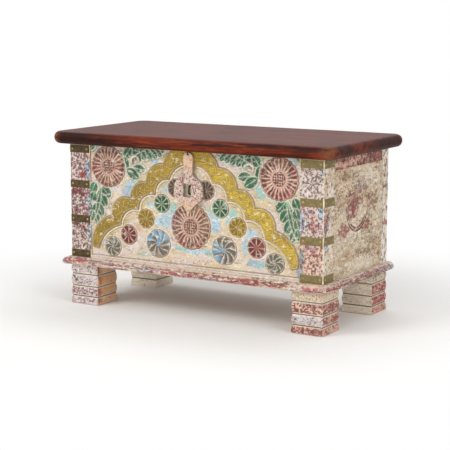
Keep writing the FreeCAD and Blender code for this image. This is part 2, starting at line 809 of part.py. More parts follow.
def foot_profile(middle, half):
    """A foot's outline: bands with round edges, parted by grooves, up one side and down the
    other."""
    depth, edge = size("foot_groove_depth"), size("foot_edge_round")
    height = size("foot_height")
    levels = [0] + [share * height for share in FOOT_GROOVE_SHARES] + [height]
    outline = []
    # Each band ends at the bottom of the groove where the next one starts
    for low, high in zip(levels, levels[1:]):
        outline += [(half - depth, low, -QUARTER_SHARE), (half, low + edge, 0)]
        outline.append((half, high - edge, -QUARTER_SHARE))
    outline.append((half - depth, height, 0))
    # The edge that stands on the floor is only broken
    worn = size("foot_bottom_round")
    outline[:2] = [(half - worn, 0, -QUARTER_SHARE), (half, worn, 0)]
    left = []
    for index in range(len(outline) - 1, -1, -1):
        x, z, bow = outline[index]
        left.append((-x, z, outline[index - 1][2] if index > 0 else 0))
    return [(middle + x, z, bow) for x, z, bow in outline + left]


def foot_prism(name, rotation, middle, half, length, start):
    """The foot's outline drawn out along one direction."""
    sketch = doc.addObject("Sketcher::SketchObject", name + "_outline")
    sketch.addGeometry(edges_of(foot_profile(middle, half)))
    sketch.Placement = Placement(start, rotation)
    prism = doc.addObject("Part::Extrusion", name + "_prism")
    prism.Base = sketch
    prism.DirMode = "Normal"
    prism.Solid = True
    prism.Symmetric = True
    prism.setExpression("LengthFwd", bind(length))
    return prism


def foot(label, side_x, side_y):
    """A block foot: where two grooved prisms cross, bored from above for its dowels."""
    half_x, half_y = size("foot_width") / 2, size("foot_depth") / 2
    x = side_x * (size("foot_outside_x") - half_x)
    y = side_y * (size("foot_outside_y" if side_y < 0 else "foot_back_y") - half_y)
    face_on = Rotation(Vector(1, 0, 0), 90)
    side_on = Rotation(Vector(0, 0, 1), 90).multiply(face_on)
    front = foot_prism(label + "_front", face_on, x, half_x, "foot_depth", Vector(0, y, 0))
    flank = foot_prism(label + "_flank", side_on, y, half_y, "foot_width", Vector(x, 0, 0))
    block = doc.addObject("Part::Common", label + "_block")
    block.Base = front
    block.Tool = flank
    bores = doc.addObject("Part::MultiFuse", label + "_bores")
    depth = "dowel_length - dowel_rail_depth + hole_clearance"
    drills = []
    for index, (bore_x, bore_y) in enumerate(dowel_places(side_x, side_y)):
        bore = doc.addObject("Part::Cylinder", "%s_bore_%d" % (label, index + 1))
        bore.setExpression("Radius", bind("dowel_radius + hole_clearance"))
        bore.setExpression("Height", bind(depth + " + overrun"))
        bore.Placement = Placement(Vector(bore_x, bore_y, 0), Rotation())
        bore.setExpression("Placement.Base.z", bind("foot_height - (%s)" % depth))
        drills.append(bore)
    bores.Shapes = drills
    piece = doc.addObject("Part::Cut", label)
    piece.Base = block
    piece.Tool = bores
    piece.Label = label
    NODES.append(piece)
    return piece


def dowels():
    """Eight dowels, each half in a foot and half in the base frame."""
    radius, length = size("dowel_radius"), size("dowel_length")
    bottom = size("foot_height") - length + size("dowel_rail_depth")
    corners = [(side_x, side_y) for side_x in (-1, 1) for side_y in (-1, 1)]
    places = [place for corner in corners for place in dowel_places(*corner)]
    solids = [Part.makeCylinder(radius, length, Vector(x, y, bottom)) for x, y in places]
    return solid_group("foot_dowels", solids)


def base_screws():
    """The screws that hold the case down on its base frame."""
    length = size("base_screw_length")
    bottom = size("foot_height")
    solids = []
    for places in base_screw_places().values():
        solids += [screw(Vector(x, y, bottom), Vector(0, 0, 1), "wood_screw", length) for x, y in places]
    return solid_group("base_screws", solids)


# Lid

def lid_slab():
    """The lid: one slab with rounded corners in plan and a round edge above and below, bored
    for the batten screws, the hinge screws and the legs of the hasp's eye."""
    x = ("-half_width - lid_side_overhang", "half_width + lid_side_overhang")
    y = ("-half_depth - lid_front_overhang", "half_depth + lid_back_overhang")
    body = board("lid_slab", x, y, ("lid_bottom", "lid_top"))
    doc.recompute()
    fillet(body, "lid_corners", edge_names(body.Shape, is_upright), "lid_corner_radius")
    doc.recompute()
    rims = edge_names(body.Shape, lambda edge: not is_upright(edge))
    fillet(body, "lid_edges", rims, "lid_edge_radius")
    hinge_places = [(x, hinge_lid_screw_y()) for side in (-1, 1) for x in hinge_screw_places(side)]
    hasp_y, bend = -size("hasp_middle"), size("eye_bend_radius")
    for name, centres, radius, depth in (
        ("lid_batten_bores", batten_screw_places(-1) + batten_screw_places(1), "wood_screw_radius",
         "batten_screw_length - batten_thickness + hole_clearance"),
        ("lid_hinge_bores", hinge_places, "hinge_screw_radius",
         "hinge_screw_length - hinge_leaf_thickness + hole_clearance"),
        ("lid_eye_bores", [(0, hasp_y - bend), (0, hasp_y + bend)], "eye_wire_radius", "eye_leg_length"),
    ):
        bore = size(radius) + size("hole_clearance")
        drill(body, name, "XY_Plane", "lid_bottom", centres, bore, depth, True)
    return body


def lid_batten(label, side):
    """A batten across the underside of the lid, clear of the case's walls."""
    half = "batten_width / 2"
    x = mirrored(("batten_x - " + half, "batten_x + " + half), side)
    z = ("lid_bottom - batten_thickness", "lid_bottom")
    body = board(label, x, ("-batten_end", "batten_end"), z)
    screw_holes(body, label, "XY_Plane", z[0], batten_screw_places(side), "wood_screw",
                "batten_thickness + overrun", True)
    return body


def batten_screws():
    """The screws that hold the battens to the lid."""
    bottom = size("lid_bottom") - size("batten_thickness")
    centres = batten_screw_places(-1) + batten_screw_places(1)
    length = size("batten_screw_length")
    solids = [screw(Vector(x, y, bottom), Vector(0, 0, 1), "wood_screw", length) for x, y in centres]
    return solid_group("batten_screws", solids)


# Straps

def strap(label, side, level):
    """A flat brass strap bent round the front corner at one height, with its nail holes."""
    thick, bend = size("strap_thickness"), size("strap_bend_radius")
    half_width, half_depth = size("half_width"), size("half_depth")
    outer_x, outer_y = half_width + thick, -half_depth - thick
    end_x, end_y = half_width - size("strap_front_length"), size("strap_side_length") - half_depth
    points = [
        (end_x, -half_depth, 0), (end_x, outer_y, 0),
        (outer_x - bend, outer_y, -QUARTER_SHARE), (outer_x, outer_y + bend, 0),
        (outer_x, end_y, 0), (half_width, end_y, 0), (half_width, -half_depth, 0),
    ]
    if side < 0:
        points = [(-x, y, -bow) for x, y, bow in points]
    body = new_body(label)
    bottom = "base_top + strap_lowest + %d * strap_pitch" % level
    plan = new_sketch(body, label + "_plan", "XY_Plane", bottom)
    plan.addGeometry(edges_of(points))
    pad(body, plan, "strap_height")
    middle = strap_levels()[level]
    front, flank = strap_nail_places(side)
    radius = size("nail_radius") + size("hole_clearance")
    front = [place for place in front if place[1] == middle]
    flank = [place for place in flank if place[1] == middle]
    drill(body, label + "_front_holes", "XZ_Plane", "half_depth + overrun", front, radius, "2 * overrun")
    face = "half_width + overrun" if side > 0 else "-half_width - overrun"
    drill(body, label + "_side_holes", "YZ_Plane", face, flank, radius, "2 * overrun", side < 0)
    return body


def strap_nails(label, side):
    """The nails of one corner's straps."""
    front, flank = strap_nail_places(side)
    out_y = -size("half_depth") - size("strap_thickness")
    out_x = side * (size("half_width") + size("strap_thickness"))
    solids = [nail(Vector(x, out_y, z), Vector(0, -1, 0)) for x, z in front]
    solids += [nail(Vector(out_x, y, z), Vector(side, 0, 0)) for y, z in flank]
    return solid_group(label, solids)


# Hasp and its staples

def hasp_outline():
    """The hasp from the front: a round head, a neck that flares into a round body, and a
    pointed tail."""
    top = size("eye_axis_z")
    half_body = size("hasp_body_width") / 2
    head = size("hasp_head_radius")
    length = size("hasp_length")
    # The round head ends level with its own centre, in a half circle
    right = [(head, top - head, 0)]
    right += [(x * half_body, top - z * length, bow) for x, z, bow in HASP_SHARES]
    left = []
    for index in range(len(right) - 1, -1, -1):
        x, z, bow = right[index]
        left.append((-x, z, right[index - 1][2] if index > 0 else HALF_SHARE))
    return right + left


def hasp():
    """The hasp: a thick plate with a slot for the staple and a hole for the eye."""
    body = new_body("hasp")
    outline = new_sketch(body, "hasp_outline", "XZ_Plane", "hasp_back")
    outline.addGeometry(edges_of(hasp_outline()))
    pad(body, outline, "hasp_thickness")
    slot = new_sketch(body, "hasp_slot", "XZ_Plane", "hasp_back + hasp_thickness + overrun")
    slot.addGeometry(edges_of(slot_outline()))
    pocket(body, slot, "hasp_thickness + 2 * overrun")
    eye = [(0, size("eye_axis_z") - size("eye_bend_radius") + size("eye_lift"))]
    radius = size("eye_wire_radius") + size("eye_play")
    drill(body, "hasp_eye_hole", "XZ_Plane", "hasp_back + hasp_thickness + overrun", eye, radius,
          "hasp_thickness + 2 * overrun")
    return body


def slot_outline():
    """A rectangle with round corners about the staple."""
    x, z = -size("hasp_slot_offset"), size("staple_z")
    across, along = size("hasp_slot_width") / 2, size("hasp_slot_height") / 2
    corner = size("hasp_slot_corner")
    ring = [
        (-across + corner, -along, 0), (across - corner, -along, -QUARTER_SHARE),
        (across, -along + corner, 0), (across, along - corner, -QUARTER_SHARE),
        (across - corner, along, 0), (-across + corner, along, -QUARTER_SHARE),
        (-across, along - corner, 0), (-across, -along + corner, -QUARTER_SHARE),
    ]
    return [(x + u, z + v, bow) for u, v, bow in ring]


def wire_staple(label, wire, span, bend, leg, place, turn):
    """A wire bent twice into a U: two legs along +Z of its own frame, joined by a back that
    the bends lead into. The wire's bottom lies below the legs' start by the bend radius."""
    body = new_body(label)
    half = span / 2
    corners = [(-half, leg, 0), (-half, 0, -QUARTER_SHARE), (-half + bend, -bend, 0)]
    if half > bend:
        corners.append((half - bend, -bend, -QUARTER_SHARE))
    else:
        corners[-1] = (0, -bend, -QUARTER_SHARE)
    corners += [(half, 0, 0), (half, leg, 0)]
    path = new_sketch(body, label + "_path", "YZ_Plane")
    path.addGeometry(edges_of(corners)[:-1])
    section = new_sketch(body, label + "_section", "XY_Plane")
    section.AttachmentOffset = Placement(Vector(0, -half, leg), Rotation())
    section.setExpression("AttachmentOffset.Base.z", None)
    add_circles(section, [(0, 0)], wire)
    pipe = body.newObject("PartDesign::AdditivePipe", label + "_wire")
    pipe.Profile = section
    pipe.Spine = (path, ["Edge%d" % (index + 1) for index in range(path.GeometryCount)])
    body.Placement = Placement(place, turn)
    return body


def hasp_eye():
    """The eye that the hasp hangs on: a round bend through its hole, legs up in the lid."""
    bend = size("eye_bend_radius")
    leg = size("hasp_eye_drop") + size("eye_leg_length")
    place = Vector(0, -size("hasp_middle"), size("eye_axis_z"))
    return wire_staple("hasp_eye", size("eye_wire_radius"), 2 * bend, bend, leg, place, Rotation())


def lock_staple():
    """The staple in the front panel behind the hasp's slot."""
    wire = size("staple_wire_radius")
    bend = size("staple_bend_radius")
    stand = size("staple_reach") - wire - bend
    leg = stand + size("staple_leg_length") - size("hole_clearance")
    place = Vector(-size("hasp_slot_offset"), -size("front_ground") - stand, size("staple_z"))
    inwards = Rotation(Vector(1, 0, 0), -90)
    return wire_staple("lock_staple", wire, size("staple_span") - 2 * wire, bend, leg, place, inwards)


# Hinges

def cylinder_along_x(name, middle, length, radius):
    """A round bar on the hinge axis."""
    bar = doc.addObject("Part::Cylinder", name)
    bar.setExpression("Radius", bind(radius))
    bar.setExpression("Height", bind(length))
    start = Vector(middle - size_of(length) / 2, size("hinge_axis_y"), size("hinge_axis_z"))
    bar.Placement = Placement(start, Rotation(Vector(0, 1, 0), 90))
    return bar


def size_of(formula):
    """The value of a formula of sizes, in millimetres."""
    return float(sheet.evalExpression(bind(formula)))


def box_between(name, x, y, z):
    """A plain block between three pairs of bounds, bound to the sheet."""
    block = doc.addObject("Part::Box", name)
    for axis, side, (low, high) in (("x", "Length", x), ("y", "Width", y), ("z", "Height", z)):
        block.setExpression("Placement.Base." + axis, bind(low))
        block.setExpression(side, bind("(%s) - (%s)" % (high, low)))
    return block


def joined(name, shapes):
    """Several shapes as one."""
    union = doc.addObject("Part::MultiFuse", name)
    union.Shapes = shapes
    return union


def cut_from(label, base, tools):
    """A piece with holes or notches taken out."""
    piece = doc.addObject("Part::Cut", label)
    piece.Base = base
    piece.Tool = joined(label + "_cuts", tools)
    piece.Label = label
    NODES.append(piece)
    return piece


def hinge_screw_tools(name, side, along_y):
    """Bores through a leaf with counterbores for the screw heads."""
    play = size("hole_clearance")
    head = size("hinge_screw_head_radius") + play
    shank = size("hinge_screw_radius") + play
    deep = size("hinge_screw_head_height")
    more = size("overrun")
    tools = []
    for index, x in enumerate(hinge_screw_places(side)):
        if along_y:
            outer = Vector(x, size("back_face") + size("hinge_leaf_thickness"), hinge_case_screw_z())
            inwards = Vector(0, -1, 0)
        else:
            outer = Vector(x, hinge_lid_screw_y(), size("lid_bottom") - size("hinge_leaf_thickness"))
            inwards = Vector(0, 0, 1)
        for part, radius, depth in (("head", head, deep), ("shank", shank, more)):
            tool = doc.addObject("Part::Cylinder", "%s_%s_%d" % (name, part, index + 1))
            tool.Radius = radius
            tool.Height = depth + more
            tool.Placement = Placement(outer - inwards * more, Rotation(Vector(0, 0, 1), inwards))
            tools.append(tool)
    return tools


def hinge_bounds(side, half):
    """Bounds along X about the middle of one hinge."""
    return mirrored(("hinge_x - (%s)" % half, "hinge_x + (%s)" % half), side)


def case_leaf(label, side):
    """The leaf on the case: a plate on the back panel's face with a knuckle at each end."""
    middle = side * size("hinge_x")
    face = ("back_face", "back_face + hinge_leaf_thickness")
    plate = box_between(label + "_plate", hinge_bounds(side, "hinge_length / 2"), face,
                        ("hinge_axis_z - hinge_leaf_width", "hinge_axis_z"))
    barrel = cylinder_along_x(label + "_barrel", middle, "hinge_length", "hinge_knuckle_radius")
    leaf = joined(label + "_solid", [plate, barrel])
    gap = hinge_bounds(side, "hinge_knuckle_length / 2 + hinge_clearance")
    gap_y = ("back_face - overrun", "hinge_axis_y + hinge_knuckle_radius + overrun")
    gap_z = ("hinge_axis_z - hinge_knuckle_radius - hinge_clearance", "lid_bottom")
    notch = box_between(label + "_notch", gap, gap_y, gap_z)
    bore_radius = "hinge_pin_radius + hinge_play"
    bore = cylinder_along_x(label + "_bore", middle, "hinge_length + 2 * overrun", bore_radius)
    return cut_from(label, leaf, [notch, bore] + hinge_screw_tools(label, side, True))


def lid_leaf(label, side):
    """The leaf on the lid: a plate let into the back panel's top edge, with the middle
    knuckle."""
    middle = side * size("hinge_x")
    thick = ("lid_bottom - hinge_leaf_thickness", "lid_bottom")
    seat = ("back_face - hinge_seat_width", "back_face - hinge_clearance")
    plate = box_between(label + "_plate", hinge_bounds(side, "hinge_length / 2"), seat, thick)
    knuckle = hinge_bounds(side, "hinge_knuckle_length / 2")
    bridge_y = ("back_face - hinge_seat_width", "hinge_axis_y")
    bridge = box_between(label + "_bridge", knuckle, bridge_y, thick)
    barrel = cylinder_along_x(label + "_barrel", middle, "hinge_knuckle_length", "hinge_knuckle_radius")
    leaf = joined(label + "_solid", [plate, bridge, barrel])
    bore = cylinder_along_x(label + "_bore", middle, "hinge_length", "hinge_pin_radius + hinge_play")
    return cut_from(label, leaf, [bore] + hinge_screw_tools(label, side, False))


def hinge_pin(label, side):
    """The pin that both leaves turn on."""
    pin = cylinder_along_x(label, side * size("hinge_x"), "hinge_length", "hinge_pin_radius")
    pin.Label = label
    NODES.append(pin)
    return pin


def hinge_screws(label, along_y):
    """The screws of both hinges' leaves on the case, or on the lid."""
    length = size("hinge_screw_length")
    thick = size("hinge_leaf_thickness")
    solids = []
    for side in (-1, 1):
        for x in hinge_screw_places(side):
            if along_y:
                place = Vector(x, size("back_face") + thick, hinge_case_screw_z())
                solids.append(screw(place, Vector(0, -1, 0), "hinge_screw", length))
            else:
                place = Vector(x, hinge_lid_screw_y(), size("lid_bottom") - thick)
                solids.append(screw(place, Vector(0, 0, 1), "hinge_screw", length))
    return solid_group(label, solids)


# The whole trunk

def build():
    """Makes every piece."""
    for side, name in ((-1, "left"), (1, "right")):
        front_post("front_post_" + name, side)
        post("rear_post_" + name, side, 1, "rear_post_width", "rear_post_depth")
        side_panel("side_panel_" + name, side)
        side_board("side_top_rail_" + name, side, ("side_panel_top", "case_top"))
        base_rail("base_rail_" + name, False, side)
        foot("foot_front_" + name, side, -1)
        foot("foot_rear_" + name, side, 1)
        for level in range(4):
            strap("strap_%s_%d" % (name, level + 1), side, level)
        strap_nails("strap_nails_" + name, side)
        lid_batten("lid_batten_" + name, side)
        case_leaf("hinge_case_leaf_" + name, side)
        lid_leaf("hinge_lid_leaf_" + name, side)
        hinge_pin("hinge_pin_" + name, side)
    front_panel()
    back_panel()
    floor_board()
    base_rail("base_rail_front", True, -1)
    back_rail()
    dowels()
    base_screws()
    lid_slab()
    batten_screws()
    hasp()
    hasp_eye()
    lock_staple()
    hinge_screws("hinge_screws_case", True)
    hinge_screws("hinge_screws_lid", False)
    doc.recompute()


def move_to_origin():
    """Moves every piece so that the origin lies under the middle of the whole trunk."""
    shift = Placement(Vector(0, size("origin_shift"), 0), Rotation())
    for piece in NODES:
        piece.Placement = shift.multiply(piece.Placement)


def check():
    """Stops before anything is written if a feature failed or a shape is not sound."""
    for item in doc.Objects:
        if "Invalid" in item.State or "Error" in item.State:
            raise ValueError("%s failed: %s" % (item.Name, item.State))
    for piece in NODES:
        if piece.Shape.isNull() or not piece.Shape.isValid():
            raise ValueError("%s has no sound shape" % piece.Label)


def write_parts():
    """Writes one file per piece."""
    os.makedirs("parts", exist_ok=True)
    for piece in NODES:
        piece.Shape.exportStep("parts/%s.step" % piece.Label)
    print("%d pieces" % len(NODES))


build()
move_to_origin()
check()
write_parts()
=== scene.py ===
import math

import bpy
import numpy as np
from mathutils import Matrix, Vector


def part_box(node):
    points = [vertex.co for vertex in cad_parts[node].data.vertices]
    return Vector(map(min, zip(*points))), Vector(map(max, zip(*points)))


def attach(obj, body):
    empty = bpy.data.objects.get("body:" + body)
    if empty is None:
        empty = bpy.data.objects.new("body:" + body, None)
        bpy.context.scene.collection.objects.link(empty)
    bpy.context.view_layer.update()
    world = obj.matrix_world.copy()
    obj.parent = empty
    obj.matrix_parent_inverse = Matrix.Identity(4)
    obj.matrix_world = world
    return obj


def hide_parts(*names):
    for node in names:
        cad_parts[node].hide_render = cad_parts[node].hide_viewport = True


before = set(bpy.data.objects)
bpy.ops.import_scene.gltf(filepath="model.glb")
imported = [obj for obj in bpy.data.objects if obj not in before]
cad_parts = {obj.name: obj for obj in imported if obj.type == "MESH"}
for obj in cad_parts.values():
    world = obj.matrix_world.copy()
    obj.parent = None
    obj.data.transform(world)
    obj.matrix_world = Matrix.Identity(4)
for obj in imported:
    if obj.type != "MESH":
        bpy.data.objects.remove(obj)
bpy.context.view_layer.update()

# The look of a carved and painted wooden trunk over its solids: a relief front, worn
# whitewash with old paint, a dark slab lid and aged brass. Surfaces are worked out in
# millimetres, X to the right, Y back, Z up, and become metres when a mesh is made.

MM = 0.001
EAST, NORTH, UP = np.eye(3)


def linear(code):
    """A colour written as six hex digits of sRGB, as linear red, green and blue."""
    shades = np.array([int(code[at:at + 2], 16) / 255 for at in (0, 2, 4)])
    return np.where(shades <= 0.04045, shades / 12.92, ((shades + 0.055) / 1.055) ** 2.4)


PAINT = {name: linear(code) for name, code in {
    "cream": "D2C5AE", "pale": "E9E0CF", "white": "EFE9E2", "khaki": "BDAA78", "amber": "DBAA80",
    "grime_and_shade": "4A3528", "peach": "D6B496", "tan": "BF9C78", "lilac": "CFC3C6", "stain": "9C7F5C",
    "blue": "93C3DA", "deep_blue": "5595C2", "turquoise": "84BDB8", "teal": "4E8F95",
    "gold": "AE8F28", "bright_gold": "C6A92E", "olive": "7C6722", "pale_gold": "DDCB80",
    "maroon": "8A403C", "dark_maroon": "592826", "crimson": "9A2E38", "blood": "6E1F26",
    "rose": "D8AB9A", "pink": "D9B8A8", "brown": "6B4A38", "soft_brown": "8C6A52", "dark": "3F2E27",
    "green": "268256", "dark_green": "134A2F", "pale_green": "D3DDC8", "grey": "8C8B80",
    "dark_grey": "5F5A50", "taupe": "A48F78", "purple": "80638A", "wood": "8A6443",
}.items()}


# Numbers on grids

def ease(value):
    """Values from 0 to 1 eased at both ends."""
    value = np.clip(value, 0, 1)
    return value * value * (3 - 2 * value)


def rise(value, low, high):
    """0 below low, 1 above high, eased between them."""
    return ease((value - low) / (high - low))


def fall(value, low, high):
    """1 below low, 0 above high, eased between them."""
    return 1 - rise(value, low, high)


def swell(value, low, full, fading, high):
    """0 outside low and high, 1 from full to fading, eased between them."""
    return rise(value, low, full) * fall(value, fading, high)


def stripe(value, middle, half, soft=1.0):
    """1 within half a width of a middle value, with a soft edge."""
    return fall(np.abs(value - middle), half - soft / 2, half + soft / 2)


def zigzag(turns):
    """1 at every whole number and 0 halfway between two, in straight slopes."""
    return np.abs((turns % 1) * 2 - 1)


def hashed(i, j, seed):
    """A repeatable number from 0 to 1 for each pair of whole numbers: the digits far behind
    the point of a sine, which have nothing to do with those of the next pair."""
    value = np.sin(i * 127.1 + j * 311.7 + seed * 74.7) * 43758.5453
    return value - np.floor(value)


def noise(u, v, cell, seed):
    """Smooth noise from 0 to 1, in cells of one size along each direction."""
    u, v = u / cell[0], v / cell[1]
    i, j = np.floor(u), np.floor(v)
    s, t = ease(u - i), ease(v - j)
    low = hashed(i, j, seed) * (1 - s) + hashed(i + 1, j, seed) * s
    high = hashed(i, j + 1, seed) * (1 - s) + hashed(i + 1, j + 1, seed) * s
    return low * (1 - t) + high * t


def layered(u, v, cell, seed, layers=3):
    """Noise with finer and weaker noise laid over it, from 0 to 1."""
    total, weight = 0, 0
    for layer in range(layers):
        finer = 2 ** layer
        total = total + noise(u, v, (cell[0] / finer, cell[1] / finer), seed + layer) / finer
        weight += 1 / finer
    return total / weight


def blurred(height, passes, around=False):
    """Heights averaged with their neighbours on the grid, over and over."""
    for _ in range(passes):
        padded = np.pad(height, 1, mode="edge")
        if around:
            padded[1:-1, 0], padded[1:-1, -1] = height[:, -1], height[:, 0]
        beside = padded[:-2, 1:-1] + padded[2:, 1:-1] + padded[1:-1, :-2] + padded[1:-1, 2:]
        height = (height * 2 + beside) / 6
    return height


def turned(u, v, centre_u, centre_v):
    """Distance from a centre and angle round it."""
    u, v = u - centre_u, v - centre_v
    return np.hypot(u, v), np.arctan2(v, u)


def steps(start, end, spacing):
    """Even steps between two numbers or two places, no wider than a spacing."""
    length = np.linalg.norm(np.subtract(end, start))
    return np.linspace(start, end, max(2, math.ceil(length / spacing) + 1))


# Outlines

def arc_points(start, end, bow, count):
    """Points along an arc, its end left out. The bow is its rise as a share of the chord,
    positive to the left of the way from start to end."""
    start, end = np.array(start, float), np.array(end, float)
    share = np.arange(count) / count
    if bow == 0:
        return start + (end - start) * share[:, None]
    sweep = 4 * math.atan(2 * bow)
    length = math.hypot(*(end - start))
    along = (end - start) / length
    left = np.array((-along[1], along[0]))
    radius = length / (2 * math.sin(sweep / 2))
    angle = (share * 2 - 1) * sweep / 2
    out = radius * (np.cos(angle) - math.cos(sweep / 2))
    return (start + end) / 2 + np.outer(radius * np.sin(angle), along) + np.outer(out, left)


def outline_points(corners, count):
    """Points round a closed outline of (u, v, bow) corners."""
    pairs = zip(corners, corners[1:] + corners[:1])
    return np.concatenate([arc_points(here[:2], there[:2], here[2], count) for here, there in pairs])


def edge_line(corners, count):
    """An open line through corners with bows, spaced evenly along its length."""
    pairs = zip(corners, corners[1:])
    arcs = [arc_points(here[:2], there[:2], here[2], 12) for here, there in pairs]
    line = np.concatenate(arcs + [np.array([corners[-1][:2]])])
    length = np.concatenate(([0], np.cumsum(np.hypot(*np.diff(line, axis=0).T))))
    even = np.linspace(0, length[-1], count)
    return np.stack([np.interp(even, length, line[:, at]) for at in (0, 1)], axis=-1)


def nearest_on(u, v, start, end):
    """How far along a straight edge, as a share, its nearest place to each point lies, and
    the distance to it."""
    way = end - start
    share = np.clip(((u - start[0]) * way[0] + (v - start[1]) * way[1]) / (way @ way), 0, 1)
    return share, np.hypot(u - start[0] - share * way[0], v - start[1] - share * way[1])


def inside_distance(u, v, outline):
    """Distance to a closed outline, positive inside it."""
    nearest = np.full(u.shape, np.inf)
    inside = np.zeros(u.shape, bool)
    for start, end in zip(outline, np.roll(outline, -1, axis=0)):
        nearest = np.minimum(nearest, nearest_on(u, v, start, end)[1])
        crosses = (start[1] > v) != (end[1] > v)
        slope = (end[0] - start[0]) / ((end[1] - start[1]) or 1)
        inside ^= crosses & (u < start[0] + (v - start[1]) * slope)
    return np.where(inside, nearest, -nearest)


def along_line(u, v, line):
    """How far along an open line the nearest point lies, and how far off to its left."""
    nearest = np.full(u.shape, np.inf)
    along, off = np.zeros(u.shape), np.zeros(u.shape)
    travelled = 0
    for start, end in zip(line, line[1:]):
        share, gap = nearest_on(u, v, start, end)
        way = end - start
        length = math.hypot(*way)
        left = np.sign(way[0] * (v - start[1]) - way[1] * (u - start[0]))
        closer = gap < nearest
        nearest = np.where(closer, gap, nearest)
        along = np.where(closer, travelled + share * length, along)
        off = np.where(closer, gap * left, off)
        travelled += length
    return along, off


def lens_distance(u, v, root, tip, bow):
    """Distance to the edge of a leaf between two points, positive inside it, with the place
    along its middle and the distance across it."""
    root, tip = np.array(root, float), np.array(tip, float)
    length = math.hypot(*(tip - root))
    along = (tip - root) / length
    out = bow * length
    radius = (length ** 2 / 4 + out ** 2) / (2 * out)
    place = (u - root[0]) * along[0] + (v - root[1]) * along[1]
    across = (v - root[1]) * along[0] - (u - root[0]) * along[1]
    away = np.hypot(place - length / 2, np.abs(across) + radius - out)
    return radius - away, place, across


# A carved and painted face

class Canvas:
    """A flat face with a height, a colour and a share kept clean at every grid point."""

    def __init__(self, u, v, colour):
        self.u, self.v = u, v
        self.height = self.clear = np.zeros(u.shape)
        self.colour = np.zeros(u.shape + (3,)) + PAINT[colour]

    def noise(self, cell, seed, layers=3):
        """Layered noise over the face."""
        return layered(self.u, self.v, cell, seed, layers)

    def patchy(self, cell, seed, low, high):
        """1 where the noise over the face is high, 0 where it is low."""
        return rise(self.noise(cell, seed), low, high)

    def keep_clear(self, share):
        """Keeps the whitewash and painted highlight of ridges, and the dirt and painted shade of cuts, off
        the part where share is 1.
        """
        self.clear = np.maximum(self.clear, share)

    def tint(self, colour, share):
        """Lays a colour, by name or worked out, over the part where share is 1."""
        colour = PAINT[colour] if isinstance(colour, str) else colour
        share = np.clip(share, 0, 1)[..., None]
        self.colour = self.colour * (1 - share) + colour * share

    def level(self, height, share):
        """Brings the part where share is 1 to a height."""
        self.height = self.height * (1 - share) + height * share

    def cut(self, depth, share, colour=None, strength=1):
        """Lowers the part where share is 1, and paints it if there is a colour."""
        self.height = self.height - depth * share
        if colour:
            self.tint(colour, share * strength)

    def patches(self, table, seed, u=0, v=0):
        """The brushed patches of a table, each with a broken edge, measured from one point."""
        for number, (patch_u, patch_v, half_u, half_v, colour, strength) in enumerate(table, seed):
            away = np.hypot((self.u - u - patch_u) / half_u, (self.v - v - patch_v) / half_v)
            ragged = self.noise((9, 7), number) - 0.5
            speckled = 0.7 + 0.3 * rise(self.noise((5, 4), number + 17, 2), 0.3, 0.5)
            self.tint(colour, strength * speckled * rise(1 - away + ragged * 1.6, -0.1, 0.35))

    def flecks(self, colour, density, cell, seed, where=1):
        """Small worn specks over a share of the face."""
        self.tint(colour, where * rise(self.noise(cell, seed, 2), 1 - density, 1.06 - density))

    def wash(self, colour, cell, low, high, strength, seed):
        """Broad uneven paint where noise is high."""
        self.tint(colour, strength * self.patchy(cell, seed, low, high))


# Meshes

NEAR_PASSES, WIDE_PASSES = 3, 14


def grid_faces(rows, columns, around=False):
    """Quads over a grid of points, joined into a tube if it goes around."""
    row, column = np.meshgrid(np.arange(rows - 1), np.arange(columns - (not around)), indexing="ij")
    here, beside = row * columns + column, row * columns + (column + 1) % columns
    return np.stack((here, beside, beside + columns, here + columns), axis=-1).reshape(-1, 4)


def face_outwards(points, quads, caps):
    """Whether closed faces turn outwards: the volumes between the origin and the triangles
    that fan out over each face add up to more than nothing."""
    fans = [quads[:, (0, 1, 2)], quads[:, (0, 2, 3)]]
    fans += [np.column_stack((np.full(len(cap) - 2, cap[0]), cap[1:-1], cap[2:])) for cap in caps]
    a, b, c = points[np.concatenate(fans)].transpose(1, 0, 2)
    return np.einsum("ij,ij->", a, np.cross(b, c)) > 0


def add_piece(name, node, points, quads, caps, materials, body="case", slot="painted_wood",
              colour=None, marks=None, kinds=None, sharp=40):
    """Makes a closed mesh of quads and caps, seated on a body in place of a CAD node. Kinds
    gives the material of every quad and then of every cap."""
    faces = quads.tolist() + [list(cap) for cap in caps]
    if not face_outwards(points, quads, caps):
        faces = [face[::-1] for face in faces]
    mesh = bpy.data.meshes.new(name)
    mesh.from_pydata((points * MM).tolist(), [], faces)
    for material in materials:
        mesh.materials.append(material)
    if kinds is not None:
        mesh.polygons.foreach_set("material_index", np.asarray(kinds, dtype=np.int32))
    if colour is not None:
        colour = colour.reshape(-1, 3)
        layer = mesh.attributes.new("paint", "FLOAT_COLOR", "POINT")
        full = np.column_stack((colour, np.ones(len(colour))))
        layer.data.foreach_set("color", full.astype(np.float32).ravel())
    if marks is not None:
        layer = mesh.attributes.new("marks", "FLOAT_VECTOR", "POINT")
        layer.data.foreach_set("vector", marks.astype(np.float32).ravel())
    mesh.shade_smooth()
    mesh.set_sharp_from_angle(angle=math.radians(sharp))
    mesh.update()
    piece = bpy.data.objects.new(name, mesh)
    bpy.context.scene.collection.objects.link(piece)
    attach(piece, body)
    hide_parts(node)


def relief_marks(height, around=False, clear=0.0):
    """How far each point stands out from its neighbours and how far it lies below them, for
    the wear, whitewash and painted highlight on ridges and the dirt and painted shade in
    cuts of a material, and where the whitewash and the cuts' darkening are kept off."""
    near = height - blurred(height, NEAR_PASSES, around)
    wide = height - blurred(height, WIDE_PASSES, around)
    ridge = np.clip(near * 2.2 + wide * 0.35, 0, 1)
    groove = np.clip(-near * 2.4 - wide * 0.4, 0, 1)
    return np.stack((ridge, groove, np.zeros(height.shape) + clear), axis=-1).reshape(-1, 3)


